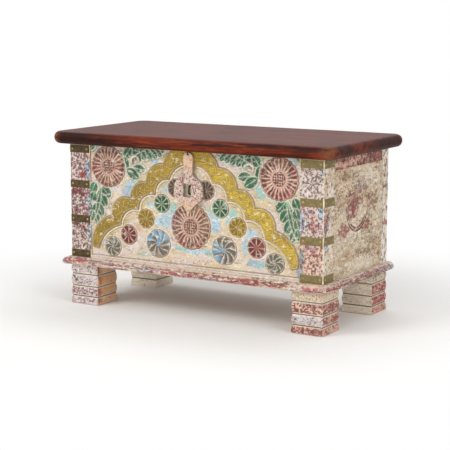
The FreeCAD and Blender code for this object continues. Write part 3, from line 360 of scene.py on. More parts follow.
def carved_board(name, node, canvas, origin, across, out, back, materials):
    """A board whose face is a canvas: the carved face, four edges and a flat back."""
    rows, columns = canvas.height.shape
    flat = origin + canvas.u[..., None] * across + canvas.v[..., None] * UP
    face = flat + canvas.height[..., None] * out
    rear = flat[[0, 0, -1, -1], [0, -1, -1, 0]] - back * out
    grid = np.arange(rows * columns).reshape(rows, columns)
    corner = rows * columns + np.arange(5) % 4
    edges = (grid[0, :], grid[:, -1], grid[-1, ::-1], grid[::-1, 0])
    caps = [[*edge[::-1], corner[at], corner[at + 1]] for at, edge in enumerate(edges)]
    caps.append(corner[3::-1])
    quads = grid_faces(rows, columns)
    marks = relief_marks(canvas.height, clear=canvas.clear)
    add_piece(name, node, np.concatenate((face.reshape(-1, 3), rear)), quads, caps, materials,
              colour=np.concatenate((canvas.colour.reshape(-1, 3), np.tile(PAINT["wood"], (4, 1)))),
              marks=np.concatenate((marks, np.zeros((4, 3)))),
              kinds=[0] * len(quads) + [1] * len(caps))


def tube(name, node, rings, materials, kinds=None, **more):
    """A bar through rings of points (stations, round, 3), closed by a flat cap at each end."""
    stations, count = rings.shape[:2]
    ring = np.arange(count)
    caps = (ring[::-1], ring + (stations - 1) * count)
    if kinds is not None:
        kinds = np.append(kinds, [kinds.flat[0]] * len(caps))
    add_piece(name, node, rings.reshape(-1, 3), grid_faces(stations, count, True), caps, materials,
              kinds=kinds, **more)


def rounded_ring(half_u, half_v, radius, spacing):
    """Points round a rectangle with round corners about the origin, and the outward direction
    at each. The corner points lie a third of the spacing apart."""
    flat = np.array((half_u - radius, half_v - radius))
    bends = max(3, int(radius * math.pi / 2 / spacing * 3))
    ring, normals = [], []
    for quarter, corner in enumerate(((1, 1), (-1, 1), (-1, -1), (1, -1))):
        angle = math.pi / 2 * (quarter + np.linspace(0, 1, bends))
        direction = np.stack((np.cos(angle), np.sin(angle)), axis=-1)
        ring.append(corner * flat + direction * radius)
        normals.append(direction)
        # The straight side after a corner runs a quarter turn to the left of its last direction
        side = 2 * flat[quarter % 2]
        onwards = np.array((-direction[-1][1], direction[-1][0]))
        share = np.arange(1, int(side / spacing))[:, None] / int(side / spacing)
        ring.append(ring[-1][-1] + onwards * side * share)
        normals.append(np.tile(direction[-1], (len(share), 1)))
    return np.concatenate(ring), np.concatenate(normals)


class Block:
    """An upright square block: its rings, its four faces and a canvas wrapped round it."""

    # The noise on the faces that look sideways is taken this many times the block's own place
    # further on, so that the left and the right block differ
    ELSEWHERE = 3

    def __init__(self, node, corner, spacing):
        self.node = node
        self.low, self.high = box(node)
        self.middle, half = (self.low + self.high) / 2, (self.high - self.low) / 2
        ring, self.normals = rounded_ring(half[0], half[1], corner, spacing)
        self.z = steps(self.low[2], self.high[2], spacing)
        self.x, v = np.meshgrid(self.middle[0] + ring[:, 0], self.z)
        self.y = np.tile(self.middle[1] + ring[:, 1], (len(self.z), 1))
        along_x = np.abs(self.normals[:, 1]) > np.abs(self.normals[:, 0])
        self.moved = self.middle[0] * self.ELSEWHERE
        self.canvas = Canvas(np.where(along_x, self.x, self.y + self.moved), v, "cream")

    def face(self, x, y):
        """1 on the face that looks along a direction, 0 elsewhere."""
        facing = self.normals[:, 0] * x + self.normals[:, 1] * y
        return np.tile(rise(facing, 0.6, 0.95), (len(self.z), 1))

    def shown(self, side_x, side_y):
        """Material numbers of the quads: 0 on the two painted faces, 1 where wood is bare."""
        painted = np.maximum(self.normals[:, 0] * side_x, self.normals[:, 1] * side_y) > 0.5
        return np.tile(np.where(painted | np.roll(painted, -1), 0, 1), len(self.z) - 1)

    def make(self, name, height, materials, kinds=None, wear=1.0):
        """The finished piece: every ring pushed out by the height."""
        x = self.x + self.normals[:, 0] * height
        y = self.y + self.normals[:, 1] * height
        tube(name, self.node, np.stack((x, y, self.canvas.v), axis=-1), materials, kinds,
             colour=self.canvas.colour, marks=relief_marks(height * wear, around=True))


# Shader nodes

def add(tree, kind, inputs, **settings):
    """Adds one shader node, sets it, fills its inputs with values or with other nodes'
    outputs, and gives its own outputs."""
    made = tree.nodes.new("ShaderNode" + kind)
    for name, value in settings.items():
        setattr(made, name, value)
    for name, value in inputs.items():
        socket = made.inputs[name]
        if isinstance(value, bpy.types.NodeSocket):
            tree.links.new(value, socket)
        else:
            socket.default_value = (*value, 1) if socket.type == "RGBA" else value
    return made.outputs


def eased(tree, value, low, high, top=1.0):
    """Nothing below low, the top above high, eased between them."""
    inputs = {"Value": value, "From Min": low, "From Max": high, "To Max": top}
    return add(tree, "MapRange", inputs, interpolation_type="SMOOTHSTEP")["Result"]


def spread(tree, value, low, high):
    """A value from 0 to 1 spread between two others."""
    return add(tree, "MapRange", {"Value": value, "To Min": low, "To Max": high})["Result"]


def weighed(tree, *parts):
    """The sum of several values, each times its weight."""
    total = 0.0
    for value, weight in parts:
        total = add(tree, "Math", {0: value, 1: weight, 2: total}, operation="MULTIPLY_ADD")[0]
    return total


def laid(tree, base, colour, value, low, high, strength):
    """A colour laid over another: none where a value is low, up to a strength where it is
    high."""
    share = eased(tree, value, low, high, strength)
    return add(tree, "Mix", {0: share, 6: base, 7: colour}, data_type="RGBA")[2]


def grain(tree, size, detail=3.0, stretch=(1, 1, 1), distortion=0.0):
    """Noise in the trunk's own frame: size in millimetres, drawn out along chosen axes. Pores
    and brush marks are finer on the real wood, and are drawn as coarse as they need to show."""
    where = add(tree, "TexCoord", {})["Object"]
    scale = tuple(1 / (size * MM * way) for way in stretch)
    placed = add(tree, "Mapping", {"Vector": where, "Scale": scale})[0]
    inputs = {"Vector": placed, "Scale": 1.0, "Detail": detail, "Distortion": distortion}
    return add(tree, "TexNoise", inputs)["Fac"]


def marked(tree):
    """The marks of a mesh: its ridges, its grooves and where it is kept clean."""
    return add(tree, "SeparateXYZ", {0: add(tree, "Attribute", {}, attribute_name="marks")["Vector"]})


def dented(tree, *dents):
    """The normal over several heights, each as deep as a real size in millimetres."""
    under = {}
    for height, depth in dents:
        inputs = {"Height": height, "Strength": 1.0, "Distance": depth * MM, **under}
        under = {"Normal": add(tree, "Bump", inputs)[0]}
    return under["Normal"]


def new_material(name):
    """An empty material and its node tree."""
    material = bpy.data.materials.new(name)
    material.use_nodes = True
    material.node_tree.nodes.clear()
    return material, material.node_tree


def finished(material, colour, roughness, normal, **more):
    """Gives a material its surface."""
    tree = material.node_tree
    inputs = {"Base Color": colour, "Roughness": roughness, "Normal": normal, **more}
    add(tree, "OutputMaterial", {"Surface": add(tree, "BsdfPrincipled", inputs)[0]})
    return material


def painted_wood(name, stretch):
    """Old paint on carved mango wood: whitewash rubbed over it, which on the ridges is also a
    painted highlight, a little dirt and painted shade in the cuts, bare edges and fine specks.
    Matte, with the grain just felt through the paint."""
    material, tree = new_material(name)
    paint = add(tree, "Attribute", {}, attribute_name="paint")["Color"]
    ridge, groove, clear = marked(tree)
    coarse = grain(tree, 14, 4)
    fine = grain(tree, 2.6, 3, stretch)
    speck = grain(tree, 1.9, 2)
    pores = grain(tree, 3.0, 4, tuple(way * 1.8 if way > 1 else way for way in stretch))
    # Brush marks make the paint uneven
    uneven = {0: eased(tree, fine, 0.36, 0.7), 6: (0.84, 0.81, 0.78), 7: (1.04, 1.03, 1.02)}
    brushed = add(tree, "Mix", uneven, data_type="RGBA")[2]
    colour = add(tree, "Mix", {0: 1.0, 6: paint, 7: brushed}, data_type="RGBA", blend_type="MULTIPLY")[2]
    # Whitewash stays on the ridges and in scattered scuffs; on the ridges it is also a painted highlight
    rubbed = weighed(tree, (ridge, 0.6), (coarse, 0.4), (speck, 0.45))
    colour = laid(tree, colour, PAINT["pale"], rubbed, 0.56, 1.0, spread(tree, clear, 0.32, 0.048))
    # Sharp edges are worn to the wood in places
    colour = laid(tree, colour, PAINT["stain"], eased(tree, coarse, 0.5, 0.62, ridge), 0.45, 0.8, 0.4)
    # Dirt and painted shade darken the cuts
    cut_dirt_and_shade = weighed(tree, (groove, 1.0), (speck, 0.3))
    colour = laid(tree, colour, PAINT["brown"], cut_dirt_and_shade, 0.3, 1.0, spread(tree, clear, 0.45, 0.0675))
    # Dark specks where the wood shows through
    colour = laid(tree, colour, PAINT["grime_and_shade"], pores, 0.61, 0.69, 0.6)
    return finished(material, colour, spread(tree, fine, 0.66, 0.88),
                    dented(tree, (pores, 0.35), (speck, 0.18)))


def bare_wood(name, stretch):
    """Unpainted oiled mango wood, sawn and planed: long grain, darker rings and pores."""
    light, dark = linear("A67B52"), linear("6B4628")
    material, tree = new_material(name)
    broad = grain(tree, 16, 3, stretch, 0.6)
    fine = grain(tree, 2.2, 4, stretch)
    colour = laid(tree, dark, light, broad, 0.34, 0.68, 1.0)
    colour = laid(tree, colour, dark, fine, 0.52, 0.7, 0.45)
    return finished(material, colour, spread(tree, fine, 0.5, 0.75), dented(tree, (fine, 0.2)))


def lid_wood():
    """The lid's stained slab: dark red-brown, satin, long grain, darker towards its left end,
    with its corners worn lighter."""
    material, tree = new_material("dark stained mango wood")
    along = (14, 1, 1)
    broad = grain(tree, 20, 4, along, 0.8)
    streak = grain(tree, 5, 5, along, 0.3)
    pores = grain(tree, 1.1, 3, (22, 1, 1))
    cloud = grain(tree, 130, 3)
    worn, darkened = marked(tree)[:2]
    colour = linear("34100A")
    for over, value, low, high, strength in (
        ("64230F", broad, 0.4, 0.6, 1.0), ("8C4020", streak, 0.5, 0.62, 0.45),
        ("120604", pores, 0.54, 0.66, 0.7), ("1C0A06", cloud, 0.5, 0.66, 0.6),
    ):
        colour = laid(tree, colour, linear(over), value, low, high, strength)
    for over, share, strength in (("9A6446", worn, 0.35), ("140605", darkened, 0.85)):
        inputs = {0: spread(tree, share, 0.0, strength), 6: colour, 7: linear(over)}
        colour = add(tree, "Mix", inputs, data_type="RGBA")[2]
    # The top is paler: wax and dust, which also take most of the stain's gloss, and painted sheen
    facing = add(tree, "SeparateXYZ", {0: add(tree, "NewGeometry", {})["Normal"]})[2]
    colour = laid(tree, colour, linear("7E5A54"), facing, 0.75, 1.0, spread(tree, streak, 0.225, 0.45))
    return finished(material, colour, spread(tree, streak, 0.45, 0.6),
                    dented(tree, (broad, 0.4), (pores, 0.12)), **{"Specular IOR Level": 0.12})


def aged_metal(name, light, dark, roughness, dent, metallic=1.0):
    """Old beaten metal: a mottled patina, smoother where rubbed, with a dented face."""
    light, dark = linear(light), linear(dark)
    material, tree = new_material(name)
    mottle = grain(tree, 9, 4)
    colour = laid(tree, dark, light, mottle, 0.3, 0.7, 1.0)
    colour = laid(tree, colour, dark, grain(tree, 1.6, 3), 0.56, 0.7, 0.35)
    rough = spread(tree, mottle, roughness + 0.14, roughness - 0.1)
    return finished(material, colour, rough, dented(tree, (mottle, dent)), Metallic=metallic)


ALONG_X, ALONG_Y, ALONG_Z = (6, 1, 1), (1, 6, 1), (1, 1, 6)
PAINTED_CARVING = painted_wood("painted wood, carved", (1.6, 1, 1))
PAINTED_X = painted_wood("painted wood, grain across", ALONG_X)
PAINTED_Y = painted_wood("painted wood, grain along the side", ALONG_Y)
PAINTED_Z = painted_wood("painted wood, upright grain", ALONG_Z)
WOOD_X = bare_wood("bare wood, grain across", ALONG_X)
WOOD_Y = bare_wood("bare wood, grain along the side", ALONG_Y)
WOOD_Z = bare_wood("bare wood, upright grain", ALONG_Z)
LID_WOOD = lid_wood()
# Dull patina keeps the straps from mirroring like clean brass
BRASS = {
    "left": aged_metal("darkened brass strap", "5E4C2E", "43351F", 0.5, 0.1, 0.6),
    "right": aged_metal("aged brass strap", "857548", "6E6140", 0.46, 0.1, 0.6),
}
NAIL_BRASS = aged_metal("rubbed brass nail", "B5A67A", "857548", 0.4, 0.05)
EDGE_PAINT = aged_metal("paint rubbed over a strap's bend", "E6D8BE", "B8A582", 0.6, 0.1, 0.0)
IRON = aged_metal("blackened iron", "3A332E", "1C1816", 0.5, 0.1)
STEEL = aged_metal("dull steel screw", "8C8880", "55514B", 0.4, 0.03)


# Places in the frame, in millimetres

def box(node):
    """Lowest and highest corner of a CAD node, in millimetres."""
    return [np.array(corner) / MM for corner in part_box(node)]


PANEL_LOW, PANEL_HIGH = box("front_panel")
PANEL_HALF = box("front_post_right")[0][0]
CASE_FRONT = box("front_post_left")[0][1]
BASE_TOP, CASE_TOP = PANEL_LOW[2], PANEL_HIGH[2]
CASE_HEIGHT = CASE_TOP - BASE_TOP
RELIEF = 4.0
CARVING_GRID, SIDE_GRID = 1.4, 1.6


def on_panel(u_share, v_share):
    """A place on the front from shares of half its width and of its height."""
    return u_share * PANEL_HALF, BASE_TOP + v_share * CASE_HEIGHT


def flat_canvas(u_range, v_range, spacing, colour, cell, seed, rough):
    """A canvas over a rectangle, uneven by a height that follows noise."""
    u, v = np.meshgrid(steps(*u_range, spacing), steps(*v_range, spacing))
    canvas = Canvas(u, v, colour)
    canvas.height = (canvas.noise(cell, seed) - 0.5) * rough
    return canvas


# The arch: shares of the half width and the height, and the bow of the edge from each point.
# The outer edge runs down to the tail, the inner edge back up to the apex.
ARCH_OUTER_SHARES = (
    (0.165, 1.000, 0.110), (0.264, 0.874, 0.225), (0.436, 0.708, 0.237), (0.596, 0.559, 0.284),
    (0.782, 0.396, 0.143), (0.983, 0.200, 0.050), (0.983, 0.105, 0.000),
)
ARCH_INNER_SHARES = (
    (0.925, 0.095, -0.137), (0.693, 0.319, -0.244), (0.512, 0.465, -0.252), (0.343, 0.604, -0.256),
    (0.205, 0.744, -0.150), (0.053, 0.879, 0.100), (0.000, 0.937, 0.000),
)
ARCH_OVERRUN = 30.0
# Below the first height the arch has no pale edge, above the second it is whole
TAIL_LOW, TAIL_HIGH = BASE_TOP + 38, BASE_TOP + 60
# How far the rolled rim and the fine line lie from the arch's inner edge
RIM_MIDDLE, RIM_HALF, LINE_MIDDLE, LINE_HALF = 3.2, 2.2, 6.6, 0.7
# The leafy strokes: which way they lean off the middle of the band, and their spacing
STROKES = ((1, 17.0), (-1, 23.0))


def arch_shape(u, v):
    """Distances for both halves of the arch: to its edge, positive on the band, to its inner
    edge, and along and off the middle of its band."""
    beside = np.abs(u)
    outer, inner = ([on_panel(*place) + (bow,) for *place, bow in shares]
                    for shares in (ARCH_OUTER_SHARES, ARCH_INNER_SHARES))
    # The outline is closed past the middle line and past the top, where there is no edge
    past, top = -PANEL_HALF / 4, CASE_TOP + ARCH_OVERRUN
    above = [(past, inner[-1][1], 0), (past, top, 0), (outer[0][0], top, 0)]
    band = inside_distance(beside, v, outline_points(outer + inner + above, 12))
    outer_line, inner_line = edge_line(outer, 90), edge_line(inner, 90)
    from_inner = np.abs(along_line(beside, v, inner_line)[1])
    along, off = along_line(beside, v, (outer_line + inner_line[::-1]) / 2)
    return band, from_inner, along, off


def carve_arch(canvas):
    """Both halves of the arch at once, as mirror images: a gold band with leafy strokes, thin
    brown edges of painted shadow, and a pale rolled rim with a fine brown line along its inner
    side, a painted line that is also the rim's painted shadow."""
    u, v = canvas.u, canvas.v
    band, from_inner, along, off = arch_shape(u, v)
    under = (band < 0) * rise(v, TAIL_LOW, TAIL_HIGH)
    shade = under * fall(from_inner, 8, 26) * canvas.patchy((16, 12), 33, 0.25, 0.5)
    canvas.tint("khaki", 0.9 * shade)
    below_apex = v < on_panel(*ARCH_INNER_SHARES[-1][:2])[1] + RIM_MIDDLE
    canvas.cut(-1.1, under * stripe(from_inner, RIM_MIDDLE, RIM_HALF, 2.0) * below_apex, "pale", 0.55)
    # The fine brown line inside the rim is painted, and also the rim's painted shadow
    canvas.cut(0.7, under * stripe(from_inner, LINE_MIDDLE, LINE_HALF, 1.4), "soft_brown", 0.3)
    canvas.tint("pale", 0.6 * swell(band, -4.4, -2.6, -2.2, -1.0) * (from_inner > 8))
    # The thin brown line along the band's edge is painted shadow
    canvas.tint("soft_brown", 0.55 * swell(band, -2.2, -0.6, 0.0, 1.2))
    on_band = rise(band, -0.4, 1.0)
    canvas.keep_clear(on_band * 0.5)
    canvas.level(RELIEF, on_band)
    canvas.tint("gold", on_band)
    # The gold is brighter to the right and duller to the left
    brighter = canvas.patchy((30, 24), 31, 0.3, 0.6) * rise(u, -150, 60)
    canvas.tint("bright_gold", on_band * 0.9 * brighter)
    canvas.tint("olive", on_band * 0.6 * canvas.patchy((20, 15), 37, 0.5, 0.74))
    canvas.tint("olive", on_band * 0.5 * rise(-u, 0, 150))
    canvas.flecks("olive", 0.4, (4, 3), 43, on_band * 0.5)
    canvas.flecks("pale_gold", 0.3, (3.5, 3), 45, on_band * 0.3)
    field = rise(band, 3.2, 4.6)
    canvas.cut(0.6, field)
    bend = canvas.noise((60, 60), 41) - 0.5
    # Curved strokes lean both ways from the middle of the band, as on overlapping leaves, each
    # with painted olive shade beside it
    for way, pitch in STROKES:
        phase = along / pitch + way * off / 26 + (off / 15) ** 2 * 0.4 + bend * 1.2 + 0.3 * way
        wave = zigzag(phase)
        here = field * rise(way * off, -7, 0) * fall(-u, 215, 245)
        stroke = rise(wave, 0.8, 0.97) * here
        canvas.cut(-0.35, stroke, "pale_gold", 0.22 + 0.18 * rise(u, -60, 60))
        # The olive in the shallow cut beside each stroke is painted shade
        canvas.cut(0.4, swell(wave, 0.5, 0.72, 0.74, 0.84) * here, "olive", 0.5)
    canvas.tint("olive", 0.6 * stripe(band, 3.6, 1.0, 1.4) * on_band)


# Rosettes: how many petals, where they begin as a share, two colours of the petals, the
# colours of their depths, which also serve as painted shade, of the ribs between them, which
# also serve as painted highlights on twisted petals, and of the boss, how wide a rib is in
# millimetres, how far the petals twist and how deeply the rim is lobed
ROSETTE_KEYS = ("petals", "start", "petal", "second", "deep", "rib", "boss", "width", "twist", "lobe")
STYLES = {name: dict(zip(ROSETTE_KEYS, values)) for name, values in {
    "great": (24, 0.42, "maroon", "soft_brown", "dark_maroon", "rose", "dark_maroon", 6.2, 0.0, 0.05),
    "dark": (11, 0.22, "dark_grey", "taupe", "dark", "taupe", "dark", 1.6, 0.35, 0.06),
    "green": (8, 0.12, "green", "green", "dark_green", "pale_green", "green", 2.5, 0.0, 0.03),
    "gold": (9, 0.20, "gold", "bright_gold", "olive", "bright_gold", "olive", 1.4, 0.3, 0.08),
    "red": (8, 0.20, "maroon", "maroon", "dark_maroon", "rose", "maroon", 3.0, 0.0, 0.03),
    "whirl": (8, 0.14, "grey", "taupe", "dark_grey", "pale_green", "grey", 1.5, 1.2, 0.03),
    "great_whirl": (9, 0.16, "grey", "taupe", "dark_grey", "pale", "deep_blue", 1.6, 0.9, 0.05),
}.items()}
# How much of a rosette is kept clean, how wide its rim is, how much of the ribs' colour lies
# on the rim, and the ribs' width at the middle and what it gains up to the rim, as shares
GREAT_FORM = (0.2, 2.2, 0.45, 1.15, -0.5)
SMALL_FORM = (0.5, 1.6, 0.7, 0.7, 0.3)

# Place as shares, radius in millimetres, and the style
ROSETTES = (
    (0.000, 0.363, 56.5, "great"),
    (0.815, 0.817, 51.5, "great"),
    (0.1436, 0.676, 23.5, "dark"),
    (0.2805, 0.5365, 22.5, "green"),
    (0.439, 0.394, 24.0, "gold"),
    (0.614, 0.241, 24.5, "red"),
    (0.779, 0.1256, 25.0, "whirl"),
    (0.317, 0.190, 35.0, "great_whirl"),
)
# The directions in which the left and the right great whirl are blue, in radians
BLUE_LEFT, BLUE_RIGHT = 1.75, 2.5
LATTICE_PITCH = 6.6


def carve_rosette(canvas, u, v, radius, style, seed):
    """A round flower: a disc with a lobed rim, hollowed petals, ribs between them and a boss.
    One off the middle line is carved on both halves."""
    look = STYLES[style]
    start = look["start"]
    clear, rim, rim_colour, rib_start, rib_gain = GREAT_FORM if style == "great" else SMALL_FORM
    beside = np.abs(canvas.u) if u else canvas.u
    away, angle = turned(beside, canvas.v, u, v)
    share = away / radius
    wobble = canvas.noise((15, 15), seed) - 0.5
    phase = angle / (2 * math.pi) * look["petals"] + look["twist"] * share
    phase = phase + wobble * 0.45 * rise(share, 0, 0.5)
    wave = zigzag(phase)
    edge = radius * (1 - look["lobe"] * wave ** 2) - away
    disc = rise(edge, -0.4, 1.2)
    # Just outside the disc: a pale ring of painted highlight, and at its edge a brown ring of painted shadow
    canvas.tint("pale", 0.5 * swell(edge, -6, -3, -2, -1))
    canvas.tint("soft_brown", 0.75 * stripe(edge, -0.6, 1.0, 1.6))
    canvas.level(RELIEF * 0.85, disc)
    canvas.keep_clear(disc * clear)
    uneven = canvas.noise((26, 26), seed + 3)
    mottled = uneven[..., None]
    canvas.tint(PAINT[look["petal"]] * mottled + PAINT[look["second"]] * (1 - mottled), disc)
    # The petals are hollowed out between ribs that narrow to both ends
    from_rib = (1 - wave) * np.maximum(math.pi * away / look["petals"], 0.1)
    width = look["width"] * (rib_start + rib_gain * share)
    past_boss = rise(share, start, start + 0.06)
    rib = fall(from_rib, width * 0.15, width * 0.6) * past_boss
    hollow = (1 - rib) * past_boss * rise(edge, rim - 0.8, rim + 0.8)
    canvas.cut(1.9, hollow * (0.4 + 0.6 * np.sqrt(1 - wave ** 2 * 0.9)))
    worn = canvas.noise((20, 20), seed + 7)
    broken = 0.6 + 0.4 * canvas.patchy((7, 7), seed + 5, 0.3, 0.5)
    # The hollows take the darker colour of their depths: paint, and painted shade as well
    canvas.tint(look["deep"], hollow * 0.9 * rise(worn, 0.15, 0.4))
    canvas.tint(look["rib"], rib * disc * broken * 0.9)
    canvas.tint(look["rib"], disc * fall(edge, rim - 0.4, rim + 0.8) * broken * rim_colour)
    if style == "great_whirl":
        # Blue is left on one side of the wheel
        towards = np.cos(angle - np.where(canvas.u > 0, BLUE_RIGHT, BLUE_LEFT)) + (uneven - 0.5) * 2.5
        blue = disc * rise(towards, 0.1, 0.6)
        canvas.tint("blue", blue * (0.7 - 0.3 * rib))
        canvas.tint("deep_blue", blue * 0.8 * canvas.patchy((12, 12), seed + 4, 0.4, 0.6))
    if look["twist"]:
        # Each petal slopes down to the next like the blade of a wheel, with painted shade at its
        # low side and a painted highlight at its high side
        slope, blade = phase % 1, disc * past_boss
        canvas.cut(1.3, blade * slope)
        canvas.tint(look["deep"], blade * 0.75 * rise(slope, 0.45, 0.95))
        canvas.tint(look["rib"], blade * 0.55 * fall(slope, 0.08, 0.4) * broken)
    if style == "great":
        chip_petals(canvas, disc, share, angle, canvas.noise((5, 5), seed + 6, 2))
    root = start * radius
    boss = rise(root - away, -0.6, 0.9)
    canvas.tint(look["boss"], boss * 0.85)
    canvas.cut(0.9, stripe(away, root, 1.0, 1.4))
    if style == "great":
        carve_boss(canvas, beside - u, canvas.v - v, away, root, boss, wobble)
        # The middle and the left rosette are browner than the right one
        aged = disc * (0.15 + 0.25 * rise(worn, 0.3, 0.6))
        canvas.tint("brown", aged * rise(-canvas.u, 80, 120))
        canvas.tint("soft_brown", aged * 0.8 * fall(np.abs(canvas.u), 80, 120))


def chip_petals(canvas, disc, share, angle, chips):
    """Pale and dark chips over a great rosette, and fresher red at the foot of the outer ones."""
    canvas.tint("pink", disc * 0.6 * rise(chips, 0.58, 0.66))
    canvas.tint("dark_maroon", disc * 0.8 * rise(1 - chips, 0.55, 0.63) * rise(share, 0.4, 0.6))
    outer = np.abs(canvas.u) > PANEL_HALF / 2
    canvas.tint("crimson", disc * 0.35 * outer * rise(share, 0.6, 0.9) * rise(-np.sin(angle), 0.2, 0.8))


def carve_boss(canvas, across, up, away, root, boss, wobble):
    """The boss of a great rosette: a pale ring round a lattice of bars."""
    inner = root * 0.84
    canvas.tint("rose", stripe(away, (root + inner) / 2 + 1, (root - inner) / 2 + 1.5, 1.6) * 0.85)
    boss = boss * rise(inner - away, -0.6, 0.9)
    bars = 0
    for place, cross in ((across, up), (up, across)):
        gaps = rise(np.sin(cross * 0.37 + place * 0.9), -0.9, -0.4)
        bars = np.maximum(bars, rise(zigzag((place + wobble * 3) / LATTICE_PITCH), 0.62, 0.85) * gaps)
    bars = bars * rise(inner - away, 0.5, 2)
    canvas.cut(1.1, boss * (1 - bars), "dark_maroon", 0.6)
    canvas.tint("rose", bars * 0.8)


# Leaves of the scrolls on the right half: root and tip in millimetres from the middle of the
# panel's foot, and the bow of their edges
LEAVES = (
    ((98, 291), (72, 289), 0.26), ((106, 291), (84, 275), 0.27), ((120, 291), (98, 270), 0.27),
    ((136, 290), (114, 265), 0.27), ((150, 287), (131, 262), 0.28), ((158, 278), (147, 258), 0.28),
    ((134, 292), (166, 288), 0.24), ((152, 284), (186, 288), 0.30), ((176, 292), (198, 262), 0.32),
    ((197, 268), (190, 234), 0.32), ((170, 243), (134, 237), 0.30), ((190, 238), (152, 215), 0.28),
    ((268, 190), (242, 162), 0.36), ((274, 168), (253, 138), 0.35), ((284, 146), (265, 113), 0.32),
    ((292, 122), (280, 92), 0.30), ((270, 190), (301, 92), 0.08), ((287, 198), (301, 168), 0.36),
    ((290, 173), (302, 144), 0.36), ((293, 148), (303, 120), 0.34), ((296, 124), (304, 98), 0.32),
    ((288, 294), (302, 280), 0.24),
)
LEAF_VEIN_PITCH = 5.6
LEAF_LOBE = 6.2
# The curl: its centre from the middle of the panel's foot, radius, width, and the angles in
# degrees between which it runs
CURL_U, CURL_UP, CURL_RADIUS, CURL_WIDTH, CURL_FIRST, CURL_LAST = 166, 259, 13, 6.5, -40, 190


def carve_leaf(canvas, root, tip, bow, seed):
    """One leaf on both halves: a lobed blade with a midrib and slanting veins."""
    root, tip = ((u, BASE_TOP + up) for u, up in (root, tip))
    edge, place, across = lens_distance(np.abs(canvas.u), canvas.v, root, tip, bow)
    off = np.abs(across)
    edge = edge - 0.8 + 1.4 * np.abs(np.sin(math.pi * (place + off) / LEAF_LOBE))
    blade = rise(edge, -0.4, 0.8)
    around = rise(edge, -3.4, -2.2) * (1 - blade)
    canvas.keep_clear(np.maximum(around, blade))
    canvas.level(1.6, around)
    canvas.tint("pale_green", 0.75 * around)
    canvas.level(RELIEF * 0.9, blade)
    canvas.cut(-0.4, blade * rise(edge, 0, 4))
    canvas.tint("green", blade)
    canvas.tint("dark_green", blade * canvas.patchy((9, 9), 70 + seed, 0.33, 0.46) * 0.95)
    canvas.tint("dark_green", blade * swell(edge, 0.4, 1.0, 1.4, 2.6) * 0.85)
    canvas.tint("pale_green", blade * fall(edge, 0.2, 0.9) * 0.8)
    # One half of each leaf is darker: painted shade
    canvas.tint("dark_green", blade * 0.75 * rise(-across, -1, 3))
    broken = canvas.patchy((9, 9), 90 + seed, 0.4, 0.6)
    veins = rise(zigzag((place - off * 1.3) / LEAF_VEIN_PITCH), 0.74, 0.95) * rise(edge, 0.8, 2.0)
    canvas.cut(0.5, veins, "pale_green", 0.15 + 0.6 * broken)
    canvas.cut(0.6, fall(off, 0.5, 1.4) * rise(edge, 0.5, 1.5), "pale_green", 0.35 + 0.5 * broken)


def carve_curl(canvas):
    """The pale curl of a scroll on both halves: a tapering band round a centre."""
    away, angle = turned(np.abs(canvas.u), canvas.v, CURL_U, BASE_TOP + CURL_UP)
    turn, sweep = (np.degrees(angle) - CURL_FIRST) % 360, CURL_LAST - CURL_FIRST
    share = np.clip(turn / sweep, 0, 1)
    half = CURL_WIDTH / 2 * np.sqrt(np.sin(math.pi * (0.08 + 0.84 * share)))
    nearness = half - np.abs(away - CURL_RADIUS * (0.75 + 0.3 * share))
    edge = np.where(turn <= sweep, nearness, -CURL_WIDTH)
    blade = rise(edge, -0.5, 0.9)
    hollow = (away < CURL_RADIUS * 0.62) * canvas.patchy((5, 5), 66, 0.35, 0.5)
    canvas.tint("dark_green", 0.75 * hollow)
    canvas.tint("dark_green", 0.5 * rise(edge, -2.5, -0.8) * (1 - blade))
    canvas.level(RELIEF * 0.9, blade)
    canvas.tint("pale", blade * 0.7)
    veins = zigzag(np.radians(turn) * CURL_RADIUS / LEAF_VEIN_PITCH)
    canvas.tint("green", blade * 0.5 * rise(veins, 0.6, 0.9))


# Brushed patches of paint on the front: middle from the middle of the panel's foot and half
# sizes, in millimetres, colour and strength. The first lie on the ground, the others over all.
GROUND_PATCHES = (
    (-75, 198, 17, 15, "blue", 0.85), (-120, 161, 22, 12, "blue", 0.7), (-72, 128, 22, 32, "blue", 0.7),
    (-50, 150, 12, 14, "turquoise", 0.85), (-97, 110, 14, 12, "blue", 0.6), (68, 116, 14, 28, "blue", 0.85),
    (54, 150, 12, 14, "turquoise", 0.5), (118, 146, 20, 14, "turquoise", 0.9), (108, 128, 12, 8, "blue", 0.7),
    (180, 100, 22, 14, "blue", 0.7), (154, 72, 12, 20, "blue", 0.8), (180, 34, 28, 10, "deep_blue", 0.6),
    (196, 28, 20, 8, "turquoise", 0.7), (8, 48, 50, 8, "blue", 0.75), (-32, 50, 16, 7, "turquoise", 0.8),
    (50, 42, 18, 7, "turquoise", 0.7), (-146, 26, 20, 9, "turquoise", 0.5), (-172, 190, 26, 20, "blue", 0.8),
    (-196, 178, 16, 12, "deep_blue", 0.4), (-104, 262, 16, 10, "blue", 0.7),
    (-128, 244, 12, 8, "turquoise", 0.4), (196, 202, 14, 14, "turquoise", 0.8),
    (184, 222, 12, 8, "blue", 0.5), (120, 262, 12, 9, "lilac", 0.6),
    (284, 284, 16, 9, "blue", 0.85), (-284, 284, 18, 8, "turquoise", 0.5), (300, 26, 8, 22, "deep_blue", 0.7),
    (-246, 190, 26, 5, "turquoise", 0.8), (246, 190, 30, 5, "blue", 0.7), (-226, 132, 16, 12, "blue", 0.5),
    (228, 128, 14, 12, "lilac", 0.6), (-42, 236, 26, 14, "lilac", 0.85), (44, 236, 26, 13, "white", 0.8),
    (-160, 88, 18, 12, "peach", 0.6), (208, 98, 24, 14, "lilac", 0.6), (150, 186, 22, 14, "peach", 0.4),
    (0, 24, 110, 14, "peach", 0.2), (-220, 24, 50, 12, "peach", 0.25), (-190, 130, 14, 8, "olive", 0.3),
)
